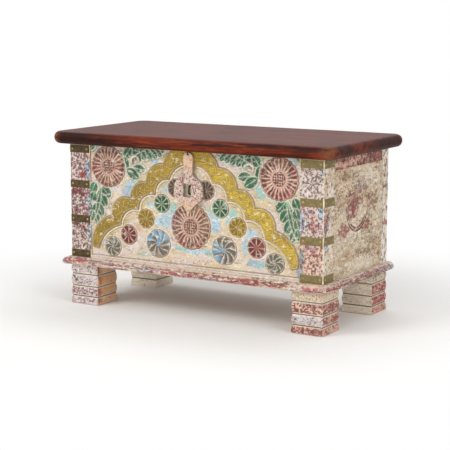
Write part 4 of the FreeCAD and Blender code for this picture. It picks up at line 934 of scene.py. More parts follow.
OVER_PATCHES = (
    (-224, 239, 9, 7, "crimson", 0.85), (-290, 236, 12, 14, "crimson", 0.6),
    (-262, 268, 22, 10, "soft_brown", 0.6), (-246, 206, 24, 9, "tan", 0.5),
    (-216, 262, 14, 12, "tan", 0.5), (252, 276, 30, 9, "tan", 0.4),
    (270, 206, 22, 10, "crimson", 0.35), (286, 258, 10, 14, "crimson", 0.35), (14, 148, 22, 16, "tan", 0.6),
    (-28, 66, 14, 12, "crimson", 0.55), (22, 60, 20, 9, "crimson", 0.4), (-50, 116, 8, 26, "purple", 0.3),
    (40, 112, 14, 20, "taupe", 0.4), (-4, 168, 16, 10, "tan", 0.45), (100, 168, 10, 8, "pale_green", 0.4),
)
# Heights of the plain border's two brown lines and of its edge over the panel's foot
BORDER_LINES, BORDER_TOP = (5, 9.5), 8.5
# How far the front may lie below its ground and above the arch
DEEPEST, OVER_RELIEF = -1.2, 0.4


def front_canvas():
    """The carved front: ground, patches of paint, scrolls, arch, rosettes and the plain
    border at its foot."""
    across, upwards = (-PANEL_HALF, PANEL_HALF), (BASE_TOP, CASE_TOP)
    canvas = flat_canvas(across, upwards, CARVING_GRID, "cream", (9, 5), 3, 0.9)
    canvas.wash("peach", (55, 30), 0.5, 0.75, 0.25, 5)
    canvas.wash("lilac", (40, 22), 0.45, 0.66, 0.7, 9)
    canvas.wash("khaki", (36, 20), 0.46, 0.7, 0.45, 14)
    canvas.patches(GROUND_PATCHES, 20, v=BASE_TOP)
    canvas.wash("stain", (26, 7), 0.6, 0.78, 0.35, 11)
    for number, leaf in enumerate(LEAVES):
        carve_leaf(canvas, *leaf, number)
    carve_curl(canvas)
    carve_arch(canvas)
    for number, (u_share, v_share, radius, style) in enumerate(ROSETTES):
        carve_rosette(canvas, *on_panel(u_share, v_share), radius, style, 110 + number * 9)
    canvas.patches(OVER_PATCHES, 80, v=BASE_TOP)
    up = canvas.v - BASE_TOP
    border = fall(up, BORDER_TOP, BORDER_TOP + 1.5)
    canvas.level(RELIEF - 0.6, border)
    canvas.tint("cream", border * 0.9)
    canvas.tint("lilac", border * 0.45)
    broken = canvas.patchy((30, 6), 12, 0.3, 0.5)
    for level in BORDER_LINES:
        canvas.tint("soft_brown", 0.6 * stripe(up, level, 0.8, 1.2) * broken)
    canvas.flecks("brown", 0.24, (6, 4), 13, 0.55)
    canvas.flecks("white", 0.26, (9, 6), 16, 0.5)
    canvas.height = np.clip(canvas.height, DEEPEST, RELIEF + OVER_RELIEF)
    return canvas


def make_front():
    """The front board in place of its plain solid."""
    ground = CASE_FRONT + RELIEF
    carved_board("carved_front", "front_panel", front_canvas(), np.array((0, ground, 0)), EAST,
                 -NORTH, PANEL_HIGH[1] - ground, [PAINTED_CARVING, WOOD_X])


# Sides: patches measured from the medallion's middle and the panel's foot

SIDE_PATCHES = (
    (-62, 242, 44, 9, "stain", 0.85), (30, 50, 84, 12, "stain", 0.85), (-70, 176, 40, 8, "stain", 0.5),
    (14, 214, 34, 13, "purple", 0.4), (30, 208, 22, 8, "brown", 0.45), (88, 170, 34, 24, "soft_brown", 0.85),
    (100, 160, 12, 10, "dark_maroon", 0.4), (64, 138, 20, 14, "soft_brown", 0.7),
    (-20, 176, 42, 34, "maroon", 0.9), (-30, 150, 20, 16, "maroon", 0.8), (-24, 162, 12, 10, "crimson", 0.4),
    (-72, 114, 30, 18, "maroon", 0.85), (42, 114, 34, 14, "maroon", 0.85),
    (-30, 72, 60, 16, "stain", 0.35), (70, 72, 40, 10, "stain", 0.5), (-70, 44, 30, 12, "stain", 0.45),
    (80, 226, 46, 22, "pale", 0.7), (20, 22, 100, 16, "pale", 0.5), (-10, 96, 50, 10, "pale", 0.6),
    (-96, 262, 30, 6, "tan", 0.5),
)
MEDALLION_U_SHARE, MEDALLION_UP_SHARE = 0.468, 0.61
# Radius and depth of the medallion's two grooves, their width, and the pale line between them
RING_GROOVES, RING_HALF, RING_LINE = ((56, 1.5), (49, 1.3)), 2.6, 52.5
MEDALLION_PETALS = 8
# How far a side panel's and a top rail's ground is sunk, so that its highest places stay in
SIDE_SUNK, RAIL_SUNK = 0.6, 0.5


def side_canvas(length, height, seed):
    """A worn side: whitewash over long-grained boards, stains along the grain, patches of old
    paint and the ringed medallion. The first coordinate runs from the front edge."""
    canvas = flat_canvas((0, length), (0, height), SIDE_GRID, "cream", (26, 3), seed, 0.8)
    canvas.wash("peach", (60, 22), 0.42, 0.7, 0.4, seed + 2)
    canvas.wash("tan", (80, 18), 0.52, 0.7, 0.5, seed + 6)
    canvas.wash("stain", (60, 12), 0.56, 0.74, 0.4, seed + 4)
    middle = length * MEDALLION_U_SHARE, height * MEDALLION_UP_SHARE
    canvas.patches(SIDE_PATCHES, seed + 10, u=middle[0])
    away, angle = turned(canvas.u, canvas.v, *middle)
    # The rings are crisp at the lower left only
    below = rise(-np.sin(angle + 0.35), -0.1, 0.25)
    for ring, depth in RING_GROOVES:
        groove = stripe(away, ring, RING_HALF, 1.6)
        canvas.cut(depth, groove * (0.12 + 0.88 * below))
        canvas.tint("dark_maroon", groove * below * 0.95)
    canvas.tint("rose", stripe(away, RING_LINE, 1.4, 1.4) * below * 0.6)
    petals = rise(zigzag(angle / (2 * math.pi) * MEDALLION_PETALS), 0.5, 0.8)
    canvas.cut(0.7, petals * swell(away, 24, 27, 44, 47))
    worn = canvas.patchy((80, 36), seed + 29, 0.36, 0.6)
    canvas.flecks("grime_and_shade", 0.38, (3.2, 2.4), seed + 30, 0.35 + 0.6 * worn)
    canvas.flecks("brown", 0.34, (5, 3), seed + 31, 0.15 + 0.45 * worn)
    canvas.flecks("maroon", 0.24, (7, 5), seed + 33, 0.5 * worn)
    canvas.flecks("pale", 0.36, (10, 5), seed + 36, 0.7 - 0.4 * worn)
    canvas.height = np.clip(canvas.height, -1.6, SIDE_SUNK)
    return canvas


def rail_canvas(length, height, seed):
    """The top rail over a side panel, thick with dark and red flecks."""
    canvas = flat_canvas((0, length), (0, height), SIDE_GRID, "rose", (20, 4), seed + 50, 0.7)
    canvas.wash("cream", (24, 12), 0.5, 0.7, 0.5, seed + 52)
    canvas.wash("maroon", (30, 12), 0.3, 0.5, 0.7, seed + 54)
    rear = rise(canvas.u, length * 0.6, length * 0.75)
    canvas.tint("maroon", 0.6 * rear * canvas.patchy((18, 9), seed + 55, 0.3, 0.5))
    canvas.flecks("dark", 0.42, (4.5, 4.5), seed + 56, 0.85)
    canvas.flecks("pale", 0.3, (5, 4), seed + 58, 0.6)
    canvas.height = np.clip(canvas.height, -0.6, RAIL_SUNK)
    return canvas


def side_board(name, node, make_canvas, way, between, sunk, seed):
    """Sets a canvas that runs from the front post to the rear one on the outside of a wall
    board. On the left side it is turned over, so that it still faces outwards."""
    low, high = box(node)
    front, rear = between
    canvas = make_canvas(rear - front, high[2] - low[2], seed)
    face = max(abs(low[0]), abs(high[0])) * way
    if way < 0:
        canvas.height, canvas.colour = canvas.height[:, ::-1], canvas.colour[:, ::-1]
    origin = np.array((face - way * sunk, front if way > 0 else rear, low[2]))
    carved_board(name, node, canvas, origin, NORTH * way, EAST * way, high[0] - low[0] - sunk,
                 [PAINTED_Y, WOOD_Y])


def make_sides():
    """Both side walls and their top rails."""
    for side, way, seed in (("left", -1, 140), ("right", 1, 180)):
        between = box("front_post_" + side)[1][1], box("rear_post_" + side)[0][1]
        side_board("side_" + side, "side_panel_" + side, side_canvas, way, between, SIDE_SUNK, seed)
        side_board("top_rail_" + side, "side_top_rail_" + side, rail_canvas, way, between, RAIL_SUNK, seed)


# Posts: splashes on each block between two straps, lowest block first. Places run outwards
# from the panel and up from the block's foot.

STRAPS = 4


def strap_node(side, level):
    """The CAD node of a strap, the lowest level first."""
    return "strap_%s_%d" % (side, level + 1)


STRAP_BOXES = [box(strap_node("right", level)) for level in range(STRAPS)]
POST_SPLASHES = {
    "left": (
        ((44, 66, 11, 5, "crimson", 0.95), (28, 60, 11, 6, "crimson", 0.95), (14, 52, 8, 6, "blood", 0.9),
         (3, 46, 7, 20, "blue", 0.85), (30, 30, 20, 18, "pink", 0.5)),
        ((38, 60, 24, 9, "blood", 0.95), (22, 54, 12, 8, "crimson", 0.9), (20, 19, 12, 7, "crimson", 0.9),
         (44, 11, 12, 5, "crimson", 0.85), (4, 42, 7, 18, "blue", 0.6), (5, 14, 7, 12, "blue", 0.6)),
        ((23, 15, 12, 9, "crimson", 0.95), (30, 46, 14, 16, "maroon", 0.35), (6, 28, 10, 26, "blue", 0.9),
         (6, 60, 8, 8, "tan", 0.4)),
    ),
    "right": (
        ((44, 48, 13, 4, "crimson", 0.9), (3, 34, 8, 34, "teal", 0.8), (30, 62, 24, 7, "purple", 0.5),
         (10, 20, 8, 12, "purple", 0.35), (56, 12, 8, 12, "lilac", 0.5)),
        ((38, 24, 16, 12, "crimson", 0.55), (6, 36, 8, 22, "deep_blue", 0.6), (56, 56, 8, 14, "blue", 0.8),
         (34, 44, 10, 9, "rose", 0.6), (20, 58, 16, 8, "purple", 0.4)),
        ((57, 64, 7, 6, "blue", 0.8), (20, 60, 12, 8, "soft_brown", 0.4),
         (40, 34, 10, 8, "soft_brown", 0.35)),
    ),
}
FLANK_SPLASHES = (
    ((12, 62, 16, 7, "blue", 0.6), (20, 54, 14, 6, "crimson", 0.35)),
    ((14, 34, 13, 28, "maroon", 0.75), (10, 22, 7, 14, "purple", 0.7), (34, 40, 10, 8, "blue", 0.4),
     (20, 62, 22, 6, "brown", 0.5)),
    ((6, 60, 8, 8, "blue", 0.6),),
)
# Ground, dark specks, coloured specks and how dense both are, on each block
POST_GROUNDS = {
    "left": (("lilac", "dark", "brown", 0.50), ("lilac", "dark", "blood", 0.52),
             ("lilac", "dark", "maroon", 0.48)),
    "right": (("pink", "dark_maroon", "maroon", 0.43), ("lilac", "dark", "maroon", 0.45),
              ("lilac", "dark", "brown", 0.42)),
}
# The gouged star on each block of the right post: arms, reach, width, depth and how dark
POST_STARS = ((6, 27, 3.4, 0.4, 0.2), (4, 25, 4.0, 0.3, 0.2), (8, 27, 3.0, 1.0, 0.7))
STAR_U = 31
REAR_POST_PATCHES = ((0, 196, 40, 6, "dark_maroon", 0.7), (0, 104, 40, 6, "crimson", 0.8),
                     (-14, 150, 8, 60, "dark", 0.35))
POST_CORNER = 1.6


def star_cuts(u, v, arms, reach, width):
    """Thin gouges that meet in a star: 1 in the middle of a gouge."""
    away, angle = turned(u, v, 0, 0)
    pitch = 2 * math.pi / arms
    offset = (angle + pitch / 2) % pitch - pitch / 2
    half = width / 2 * np.sqrt(np.sin(math.pi * np.clip(away / reach, 0, 1)).clip(0))
    return rise(half - np.abs(away * np.sin(offset)), -0.4, 0.7) * (away < reach)


def paint_post_block(canvas, outwards, inwards, side, level, front, flank, seed):
    """Paints one block of a front post, with gouges on the right-hand one. Its two faces are
    painted in coordinates of their own: outwards from the panel, and back from the front."""
    low, high = STRAP_BOXES[level][1][2], STRAP_BOXES[level + 1][0][2]
    here = swell(canvas.v, low - 2, low, high, high + 2)
    ground, dark, red, density = POST_GROUNDS[side][level]
    front = here * front
    canvas.tint(ground, front * 0.6)
    if side == "right":
        *form, depth, darkness = POST_STARS[level]
        star = star_cuts(outwards - STAR_U, canvas.v - (low + high) / 2, *form) * front
        canvas.cut(depth, star, dark, darkness * canvas.patchy((6, 6), seed + 5, 0.3, 0.6))
    for u, table, where, number in ((outwards, POST_SPLASHES[side][level], front, seed),
                                    (inwards, FLANK_SPLASHES[level], here * flank, seed + 8)):
        face = Canvas(u, canvas.v - low, "cream")
        face.colour = canvas.colour
        face.patches(table, number)
        canvas.tint(face.colour, where)
    canvas.flecks(dark, density, (3.2, 3.2), seed + 12, front * 0.85)
    canvas.flecks(red, density * 0.9, (4.2, 3.6), seed + 15, front * 0.75)


def make_front_post(side, way, seed):
    """A front post: plain inside, painted outside between its straps."""
    block = Block("front_post_" + side, POST_CORNER, 1.8)
    canvas, low, high = block.canvas, block.low, block.high
    front, flank = block.face(0, -1), block.face(way, 0)
    canvas.height = (canvas.noise((7, 9), seed) - 0.7) * 0.6
    canvas.wash("peach", (24, 40), 0.42, 0.66, 0.5, seed + 1)
    canvas.wash("white", (18, 26), 0.5, 0.7, 0.5, seed + 2)
    outwards = block.x - low[0] if way > 0 else high[0] - block.x
    inwards = block.y - low[1]
    for level in range(STRAPS - 1):
        paint_post_block(canvas, outwards, inwards, side, level, front, flank, seed + 20 * level)
    canvas.flecks("dark", 0.36, (4, 4), seed + 40, flank * 0.8)
    canvas.flecks("maroon", 0.26, (6, 5), seed + 44, flank * 0.7)
    # The edge between the two outer faces is rubbed pale
    normal_x, normal_y = block.normals.T
    edge = stripe(normal_y, -0.7, 0.28, 0.1) * (normal_x * way > 0.3)
    canvas.tint("pale", np.tile(edge * 0.8, (len(block.z), 1)))
    under_strap = 0
    for strap_low, strap_high in STRAP_BOXES:
        middle, half = (strap_low[2] + strap_high[2]) / 2, (strap_high[2] - strap_low[2]) / 2
        under_strap = np.maximum(under_strap, stripe(canvas.v, middle, half + 0.5))
    height = np.clip(canvas.height, -2.2, 0) * (1 - under_strap) * np.maximum(front, flank)
    block.make("post_front_" + side, height, [PAINTED_Z, WOOD_Z], block.shown(way, -1))


def make_rear_post(side, way, seed):
    """A rear post: whitewashed and flecked outside, plain inside."""
    block = Block("rear_post_" + side, POST_CORNER, 2.2)
    canvas = block.canvas
    canvas.wash("white", (20, 34), 0.3, 0.55, 0.7, seed + 1)
    canvas.patches(REAR_POST_PATCHES, seed + 5, block.middle[1] + block.moved, BASE_TOP)
    canvas.flecks("dark", 0.38, (4.5, 6), seed + 2, 0.85)
    canvas.flecks("crimson", 0.28, (8, 5), seed + 3, 0.7)
    height = (canvas.noise((6, 12), seed) - 0.9) * 0.5
    block.make("post_rear_" + side, height, [PAINTED_Z, WOOD_Z], block.shown(way, 1))


def make_posts():
    """All four posts."""
    for side, way, seed in (("left", -1, 210), ("right", 1, 260)):
        make_front_post(side, way, seed)
        make_rear_post(side, way, seed + 25)


# Base

FOOT_GROOVE_SHARES = (0.205, 0.458, 0.758)
GROOVE_DEPTH, BAND_ROUND, BOTTOM_ROUND, BAND_CROWN = 5.6, 8.5, 2.5, 3.6
FOOT_CORNER = 3.0
# Ground, dark specks, coloured specks and how dense both are, on each band from the floor up
FOOT_BANDS = {
    "front_left": (("lilac", "maroon", "dark", 0.36), ("lilac", "dark", "maroon", 0.42),
                   ("lilac", "dark", "grey", 0.40), ("lilac", "dark", "white", 0.34)),
    "front_right": (("rose", "maroon", "dark_maroon", 0.54), ("lilac", "dark", "grey", 0.36),
                    ("pink", "maroon", "dark_maroon", 0.48), ("cream", "soft_brown", "tan", 0.36)),
    "rear_left": (("rose", "brown", "grey", 0.34), ("taupe", "brown", "maroon", 0.38),
                  ("grey", "brown", "rose", 0.34), ("rose", "brown", "grey", 0.34)),
    "rear_right": (("rose", "brown", "maroon", 0.42), ("rose", "blood", "crimson", 0.54),
                   ("rose", "dark_maroon", "crimson", 0.52), ("cream", "dark", "taupe", 0.42)),
}
FLANK_FOOT_BANDS = (("rose", "maroon", "dark_maroon", 0.40), ("rose", "dark_maroon", "maroon", 0.50),
                    ("rose", "maroon", "dark_maroon", 0.52), ("cream", "tan", "soft_brown", 0.36))


def paint_bands(canvas, bands, grooves, where, seed):
    """Ground and specks of every band of a foot, on one of its faces."""
    for number, (ground, dark, red, density) in enumerate(bands):
        low, high = grooves[number], grooves[number + 1]
        here = stripe(canvas.v, (low + high) / 2, (high - low) / 2 - 1.5, 3) * where
        canvas.tint(ground, here * (0.55 + 0.45 * canvas.patchy((18, 9), seed + number, 0.3, 0.6)))
        canvas.flecks(dark, density, (3.4, 2.7), seed + 6 + number, here * 0.9)
        canvas.flecks(red, density, (5, 3.2), seed + 12 + number, here * 0.7)


def rounding(near, radius):
    """How far a round edge falls back, as a share of its radius, near a groove or an end."""
    return 1 - np.sqrt(1 - (1 - np.clip(near / radius, 0, 1)) ** 2)


def make_foot(name, seed):
    """A block foot: four pillowed bands parted by grooves, with chipped paint."""
    block = Block("foot_" + name, FOOT_CORNER, 1.6)
    canvas, bands = block.canvas, FOOT_BANDS[name]
    side_x, side_y = np.sign(block.middle[:2])
    grooves = np.array((0, *FOOT_GROOVE_SHARES, 1)) * block.high[2]
    gap = np.min(np.abs(block.z[:, None] - grooves[1:]), axis=1)
    # Each band is rounded into its grooves and a little crowned, and the lowest is rounded
    # into the floor
    crown = BAND_CROWN * (1 - np.clip(gap / (2 * BAND_ROUND), 0, 1)) ** 2
    inset = np.maximum(GROOVE_DEPTH * rounding(gap, BAND_ROUND), crown)
    inset = np.maximum(inset, BOTTOM_ROUND * rounding(block.z, BOTTOM_ROUND))
    canvas.wash("peach", (26, 12), 0.42, 0.62, 0.5, seed + 1)
    front, back, flank = block.face(0, -1), block.face(0, 1), block.face(side_x, 0)
    inner = np.maximum(block.face(-side_x, 0), block.face(0, -side_y))
    streaks = canvas.patchy((34, 6), seed + 2, 0.4, 0.6)
    canvas.tint("amber" if side_y < 0 else "pale", inner * (0.6 + 0.4 * streaks))
    canvas.flecks("maroon", 0.24, (14, 3), seed + 4, inner * 0.35)
    canvas.flecks("brown", 0.24, (16, 2.5), seed + 5, inner * 0.35)
    if side_y < 0:
        paint_bands(canvas, bands, grooves, front, seed + 20)
        paint_bands(canvas, FLANK_FOOT_BANDS, grooves, flank, seed + 50)
        paint_bands(canvas, bands, grooves, back * 0.4, seed + 60)
        near_front = fall(block.y - block.low[1], 6, 30) * block.face(-side_x, 0)
        canvas.tint("maroon", near_front * canvas.patchy((9, 14), seed + 8, 0.35, 0.6) * 0.75)
    else:
        paint_bands(canvas, bands, grooves, flank, seed + 20)
        paint_bands(canvas, bands, grooves, back, seed + 50)
        canvas.tint("soft_brown", front * 0.2 * canvas.patchy((40, 5), seed + 9, 0.45, 0.6))
    from_groove = np.min(np.abs(canvas.v[..., None] - grooves[1:-1]), axis=-1)
    canvas.tint("pale", 0.8 * fall(from_groove, 2.4, 4.4))
    # The darkening inside the grooves is painted shade
    canvas.tint("grime_and_shade", 0.9 * fall(from_groove, 0.8, 2.0))
    height = (canvas.noise((8, 5), seed) - 0.95) * 0.6 - inset[:, None]
    block.make("foot_%s_carved" % name, height, [PAINTED_CARVING], wear=0.5)


# The moulding's radii, and the bow of a quarter circle
NOSE_ROUND, SHOULDER, QUARTER_BOW = 8.0, 14.0, (math.sqrt(2) - 1) / 2
# Heights of its painted rope line and of its cut line
ROPE_UP, CUT_UP = 11.0, 14.6
# Its two red lines: height, half width and softness, then the length of their breaks, what is
# added to the seed and the noise above which they are whole
RED_LINES = ((16.5, 1.0, 1.0, 40, 5, 0.6), (4.5, 2.5, 2.0, 30, 7, 0.55))


def moulded_section(inside, outside, low, high):
    """A base rail's section as (out, z): its underside, a round nose, a bowed shoulder and
    its top."""
    nose_foot, nose_top = (outside - NOSE_ROUND, low), (outside, low + NOSE_ROUND)
    shoulder_top = (outside - SHOULDER, high)
    return np.concatenate((
        steps((inside, low), nose_foot, 5),
        arc_points(nose_foot, nose_top, -QUARTER_BOW, 12)[1:],
        arc_points(nose_top, shoulder_top, -QUARTER_BOW, 18),
        steps(shoulder_top, (inside, high), 5),
    ))


def plain_section(inside, outside, low, high):
    """A plain board's section."""
    return np.concatenate((
        steps((inside, low), (outside, low), 4),
        steps((outside, low), (outside, high), 2)[1:],
        steps((outside, high), (inside, high), 4)[1:],
    ))


# Paint along the rails: how far along from the middle, height over the rail's foot, half
# sizes, colour and strength
SIDE_RAIL_PATCHES = (
    (-150, 9, 60, 4, "crimson", 0.9), (-60, 10, 70, 4, "maroon", 0.9), (-20, 5, 70, 4, "dark_maroon", 0.6),
    (50, 12, 60, 5, "maroon", 0.7), (90, 6, 70, 5, "dark_maroon", 0.7), (130, 13, 50, 5, "purple", 0.55),
    (176, 8, 20, 8, "blue", 0.6), (-176, 13, 16, 6, "crimson", 0.6),
)
FRONT_RAIL_PATCHES = (
    (-340, 15, 50, 5, "crimson", 0.9), (-350, 9, 34, 5, "crimson", 0.7), (-372, 6, 12, 7, "purple", 0.5),
    (-262, 13, 60, 4, "purple", 0.6), (-180, 12, 70, 3.5, "brown", 0.6), (-110, 9, 50, 4, "deep_blue", 0.5),
    (-40, 8, 90, 5, "crimson", 0.85), (-40, 15, 110, 3, "maroon", 0.7), (80, 8, 50, 4, "purple", 0.6),
    (130, 14, 90, 3, "maroon", 0.85), (176, 8, 60, 5, "crimson", 0.9), (240, 10, 60, 5, "maroon", 0.9),
    (236, 15, 50, 3, "dark_maroon", 0.8), (330, 10, 16, 7, "crimson", 0.9), (358, 11, 14, 7, "crimson", 0.9),
    (344, 17, 40, 3, "pink", 0.7),
)
BACK_RAIL_PATCHES = ((0, 10, 300, 6, "pink", 0.5),)


def paint_moulding(canvas, patches, nose, seed):
    """Paint along a rail: washes, patches, a rope line and two red lines, and specks."""
    length, up = canvas.u, canvas.v
    canvas.wash("pink", (30, 5), 0.35, 0.6, 0.6, seed + 1)
    canvas.wash("lilac", (44, 8), 0.5, 0.65, 0.5, seed + 2)
    canvas.patches(patches, seed + 10)
    twist = rise(np.sin(length * 1.25 + 0.8 * np.sin(length / 9)), -0.2, 0.5)
    rope = stripe(up, ROPE_UP, 1.6, 1.2) * twist * canvas.patchy((50, 9), seed + 4, 0.3, 0.5)
    canvas.tint("dark_maroon", rope * nose * 0.9)
    for line_up, half, soft, length_of_break, number, whole in RED_LINES:
        broken = canvas.patchy((length_of_break, 9), seed + number, 0.4, whole)
        canvas.tint("maroon", 0.7 * stripe(up, line_up, half, soft) * nose * broken)
    canvas.flecks("dark_maroon", 0.35, (5, 2.5), seed + 6, nose * 0.75)
    canvas.flecks("pale", 0.32, (8, 3), seed + 8, nose * 0.7)


def make_rail(name, axis, way, mitres, patches, seed):
    """A rail of the base frame along X (axis 0) or Y (axis 1): its section carried from end to
    end. Mitred ends are longest at the outer edge; the nose is painted."""
    low, high = box("base_rail_" + name)
    inside, outside = sorted(way * edge[1 - axis] for edge in (low, high))
    section = (moulded_section if any(mitres) else plain_section)(inside, outside, low[2], high[2])
    tangent = np.roll(section, -1, axis=0) - np.roll(section, 1, axis=0)
    normal = np.stack((tangent[:, 1], -tangent[:, 0]), axis=-1) / np.hypot(*tangent.T)[:, None]
    short = outside - section[:, 0]
    ends = low[axis] + mitres[0] * short, high[axis] - mitres[1] * short
    length = np.linspace(*ends, int((high[axis] - low[axis]) / 2.0))
    out, z = (np.tile(section[:, at], (len(length), 1)) for at in (0, 1))
    canvas = Canvas(length, z - low[2], "cream")
    nose = rise(out - outside + SHOULDER, -3, 1)
    paint_moulding(canvas, patches, nose, seed)
    rough = (layered(length, z + out, (8, 4), seed) - 0.9) * 0.4
    cut = 0.8 * stripe(canvas.v, CUT_UP, 0.6) * any(mitres)
    height = (rough - cut) * nose
    out, z = out + normal[:, 0] * height, z + normal[:, 1] * height
    rings = np.stack((length, way * out, z) if axis == 0 else (way * out, length, z), axis=-1)
    tube("moulding_" + name, "base_rail_" + name, rings, [(PAINTED_X, PAINTED_Y)[axis]],
         colour=canvas.colour, marks=relief_marks(height, around=True))


def make_base():
    """Feet and the rails above them."""
    for number, name in enumerate(FOOT_BANDS):
        make_foot(name, 310 + 12 * number)
    make_rail("front", 0, -1, (1, 1), FRONT_RAIL_PATCHES, 370)
    make_rail("back", 0, 1, (0, 0), BACK_RAIL_PATCHES, 380)
    make_rail("left", 1, -1, (1, 0), SIDE_RAIL_PATCHES, 390)
    make_rail("right", 1, 1, (1, 0), SIDE_RAIL_PATCHES, 400)


# Lid

LID_CORNER, LID_EDGE = 33.0, 15.0
# How far in from the slab's edge its flat rings lie, above and below
LID_RINGS = np.array((200.0, 150, 100, 60, 34, 22))
# How far from a corner the stain is worn, and how far from the left end it is darkened
WORN_NEAR, WORN_FAR, DARK_FROM, DARK_TO = 12, 46, 90, 270


def make_lid():
    """The lid's slab: rings that run from the middle of the underside over the round edge to
    the middle of the top, a little uneven as hand-planed wood is."""
    low, high = box("lid_slab")
    middle, half = (low + high) / 2, (high - low) / 2
    angle = np.linspace(-math.pi / 2, math.pi / 2, 21)
    rim = np.where(angle < 0, low[2] + LID_EDGE, high[2] - LID_EDGE) + LID_EDGE * np.sin(angle)
    inset = np.concatenate((LID_RINGS, LID_EDGE * (1 - np.cos(angle)), LID_RINGS[::-1]))
    level = np.concatenate((np.full(len(LID_RINGS), low[2]), rim, np.full(len(LID_RINGS), high[2])))
    base, normals = rounded_ring(half[0], half[1], LID_CORNER, 6)
    rings = []
    for depth, z in zip(inset, level):
        shrunk = np.clip(np.abs(base) - depth * np.abs(normals), 0, None)
        ring = np.sign(base) * np.minimum(shrunk, np.maximum(half[:2] - depth, 2))
        rings.append(np.column_stack((ring + middle[:2], np.full(len(ring), z))))
    rings = np.array(rings)
    x, y, z = np.moveaxis(rings, -1, 0)
    rings[..., 2] += (layered(x, y + z, (90, 40), 8) - 1.0) * 0.5 * rise(z, middle[2], high[2])
    from_corner = np.hypot(half[0] - np.abs(x), half[1] - np.abs(y - middle[1]))
    worn = fall(from_corner, WORN_NEAR, WORN_FAR) * rise(layered(x, z * 3, (14, 14), 6), 0.25, 0.5)
    # The left end is dark, and so is the rear half of the right end's edge
    left = rise(-x, half[0] - DARK_TO, half[0] - DARK_FROM)
    right = rise(x, half[0] - 16, half[0]) * rise(y, -60, 60) * 0.8
    dark = np.maximum(left, right) * (1 - rise(z, high[2] - 4, high[2]) * 0.6)
    marks = np.stack((worn, dark * (1 - worn), np.zeros(worn.shape)), axis=-1).reshape(-1, 3)
    tube("lid_board", "lid_slab", rings, [LID_WOOD], body="lid", slot="dark_lid_wood", marks=marks,
         sharp=60)


# Straps and nails

STRAP_BEND, STRAP_THICKNESS, STRAP_SOFT = 2.5, 1.2, 0.35
STRAP_ROWS = 9
NAIL_INSET, NAIL_RADIUS, NAIL_HEIGHT, NAIL_SIDES = 8.0, 3.0, 1.3, 16
# A nail head from its neck in the strap to its top: shares of its radius and of its height
NAIL_RADIUS_SHARES = (0.33, 1, 1, 0.9, 0.7, 0.43, 0.17)
NAIL_HEIGHT_SHARES = (-0.7, -0.08, 0.12, 0.46, 0.73, 0.92, 1)


def strap_path(low, high, way):
    """The outer line of a strap in plan: from its end on the front round the corner to its
    end on the side, with the outward direction at each point, as if it were on the right."""
    near, corner = sorted(way * edge[0] for edge in (low, high))
    front, far = low[1], high[1]
    angle = np.linspace(-math.pi / 2, 0, 9)[1:-1]
    direction = np.stack((np.cos(angle), np.sin(angle)), axis=-1)
    bend = np.array((corner - STRAP_BEND, front + STRAP_BEND)) + STRAP_BEND * direction
    first = steps((near, front), (corner - STRAP_BEND, front), 3)
    second = steps((corner, front + STRAP_BEND), (corner, far), 3)
    outwards = np.tile((0, -1), (len(first), 1)), direction, np.tile((1, 0), (len(second), 1))
    return np.concatenate((first, bend, second)), np.concatenate(outwards)


def make_strap(side, way, level, seed):
    """A brass strap hammered round a front corner: a thin flat bar with soft edges, rubbed
    pale at the bend."""
    node = strap_node(side, level)
    low, high = box(node)
    path, out = strap_path(low, high, way)
    rim = np.linspace(low[2], high[2], STRAP_ROWS)
    z = np.concatenate((rim, rim[::-1]))
    depth = np.repeat((0, STRAP_THICKNESS), STRAP_ROWS)
    depth[[0, STRAP_ROWS - 1]] = STRAP_SOFT
    dent = (layered(path[:, :1] + path[:, 1:], z, (13, 9), seed) - 1) * 0.35
    dent[:, STRAP_ROWS:] = 0
    place = path[:, None, :] - out[:, None, :] * (depth - dent)[..., None]
    rings = np.concatenate((place * (way, 1), np.tile(z[:, None], (len(path), 1, 1))), axis=-1)
    bent = np.min(np.abs(out), axis=1) > 0.1
    kinds = np.tile(np.where(bent[:-1] | bent[1:], 1, 0)[:, None], (1, len(z)))
    tube("brass_" + node, node, rings, [BRASS[side], EDGE_PAINT], kinds, slot="strap_brass", sharp=50)


def make_nails(side, way):
    """The domed nail heads of one corner's straps, each with a short neck into its strap: a
    profile turned about the nail."""
    spin = np.linspace(0, 2 * math.pi, NAIL_SIDES, endpoint=False)
    radius = np.array(NAIL_RADIUS_SHARES)[:, None] * NAIL_RADIUS
    out = np.tile(np.array(NAIL_HEIGHT_SHARES)[:, None] * NAIL_HEIGHT, (1, NAIL_SIDES))
    a, b = radius * np.cos(spin), radius * np.sin(spin)
    heads = []
    for level in range(STRAPS):
        low, high = box(strap_node(side, level))
        z = (low[2] + high[2]) / 2
        near, far = (low[0], high[0]) if way > 0 else (high[0], low[0])
        edge = NAIL_INSET + STRAP_THICKNESS
        for x in (near + way * NAIL_INSET, far - way * edge):
            heads.append(np.stack((x + a, low[1] - out, z + b), axis=-1).reshape(-1, 3))
        for y in (low[1] + edge, high[1] - NAIL_INSET):
            heads.append(np.stack((far + way * out, y - way * a, z + b), axis=-1).reshape(-1, 3))
    ring = np.arange(NAIL_SIDES)
    quads, caps = [], []
    for number, head in enumerate(heads):
        first = number * len(head)
        quads.append(grid_faces(len(out), NAIL_SIDES, True) + first)
        caps += [ring[::-1] + first, ring + first + len(head) - NAIL_SIDES]
    add_piece("nail_heads_" + side, "strap_nails_" + side, np.concatenate(heads), np.concatenate(quads),
              caps, [NAIL_BRASS], slot="nail_brass", sharp=50)


def make_metalwork():
    """Straps and nails."""
    for side, way, seed in (("left", -1, 430), ("right", 1, 450)):
        for level in range(STRAPS):
            make_strap(side, way, level, seed + level)
        make_nails(side, way)


# CAD nodes that keep their own solids

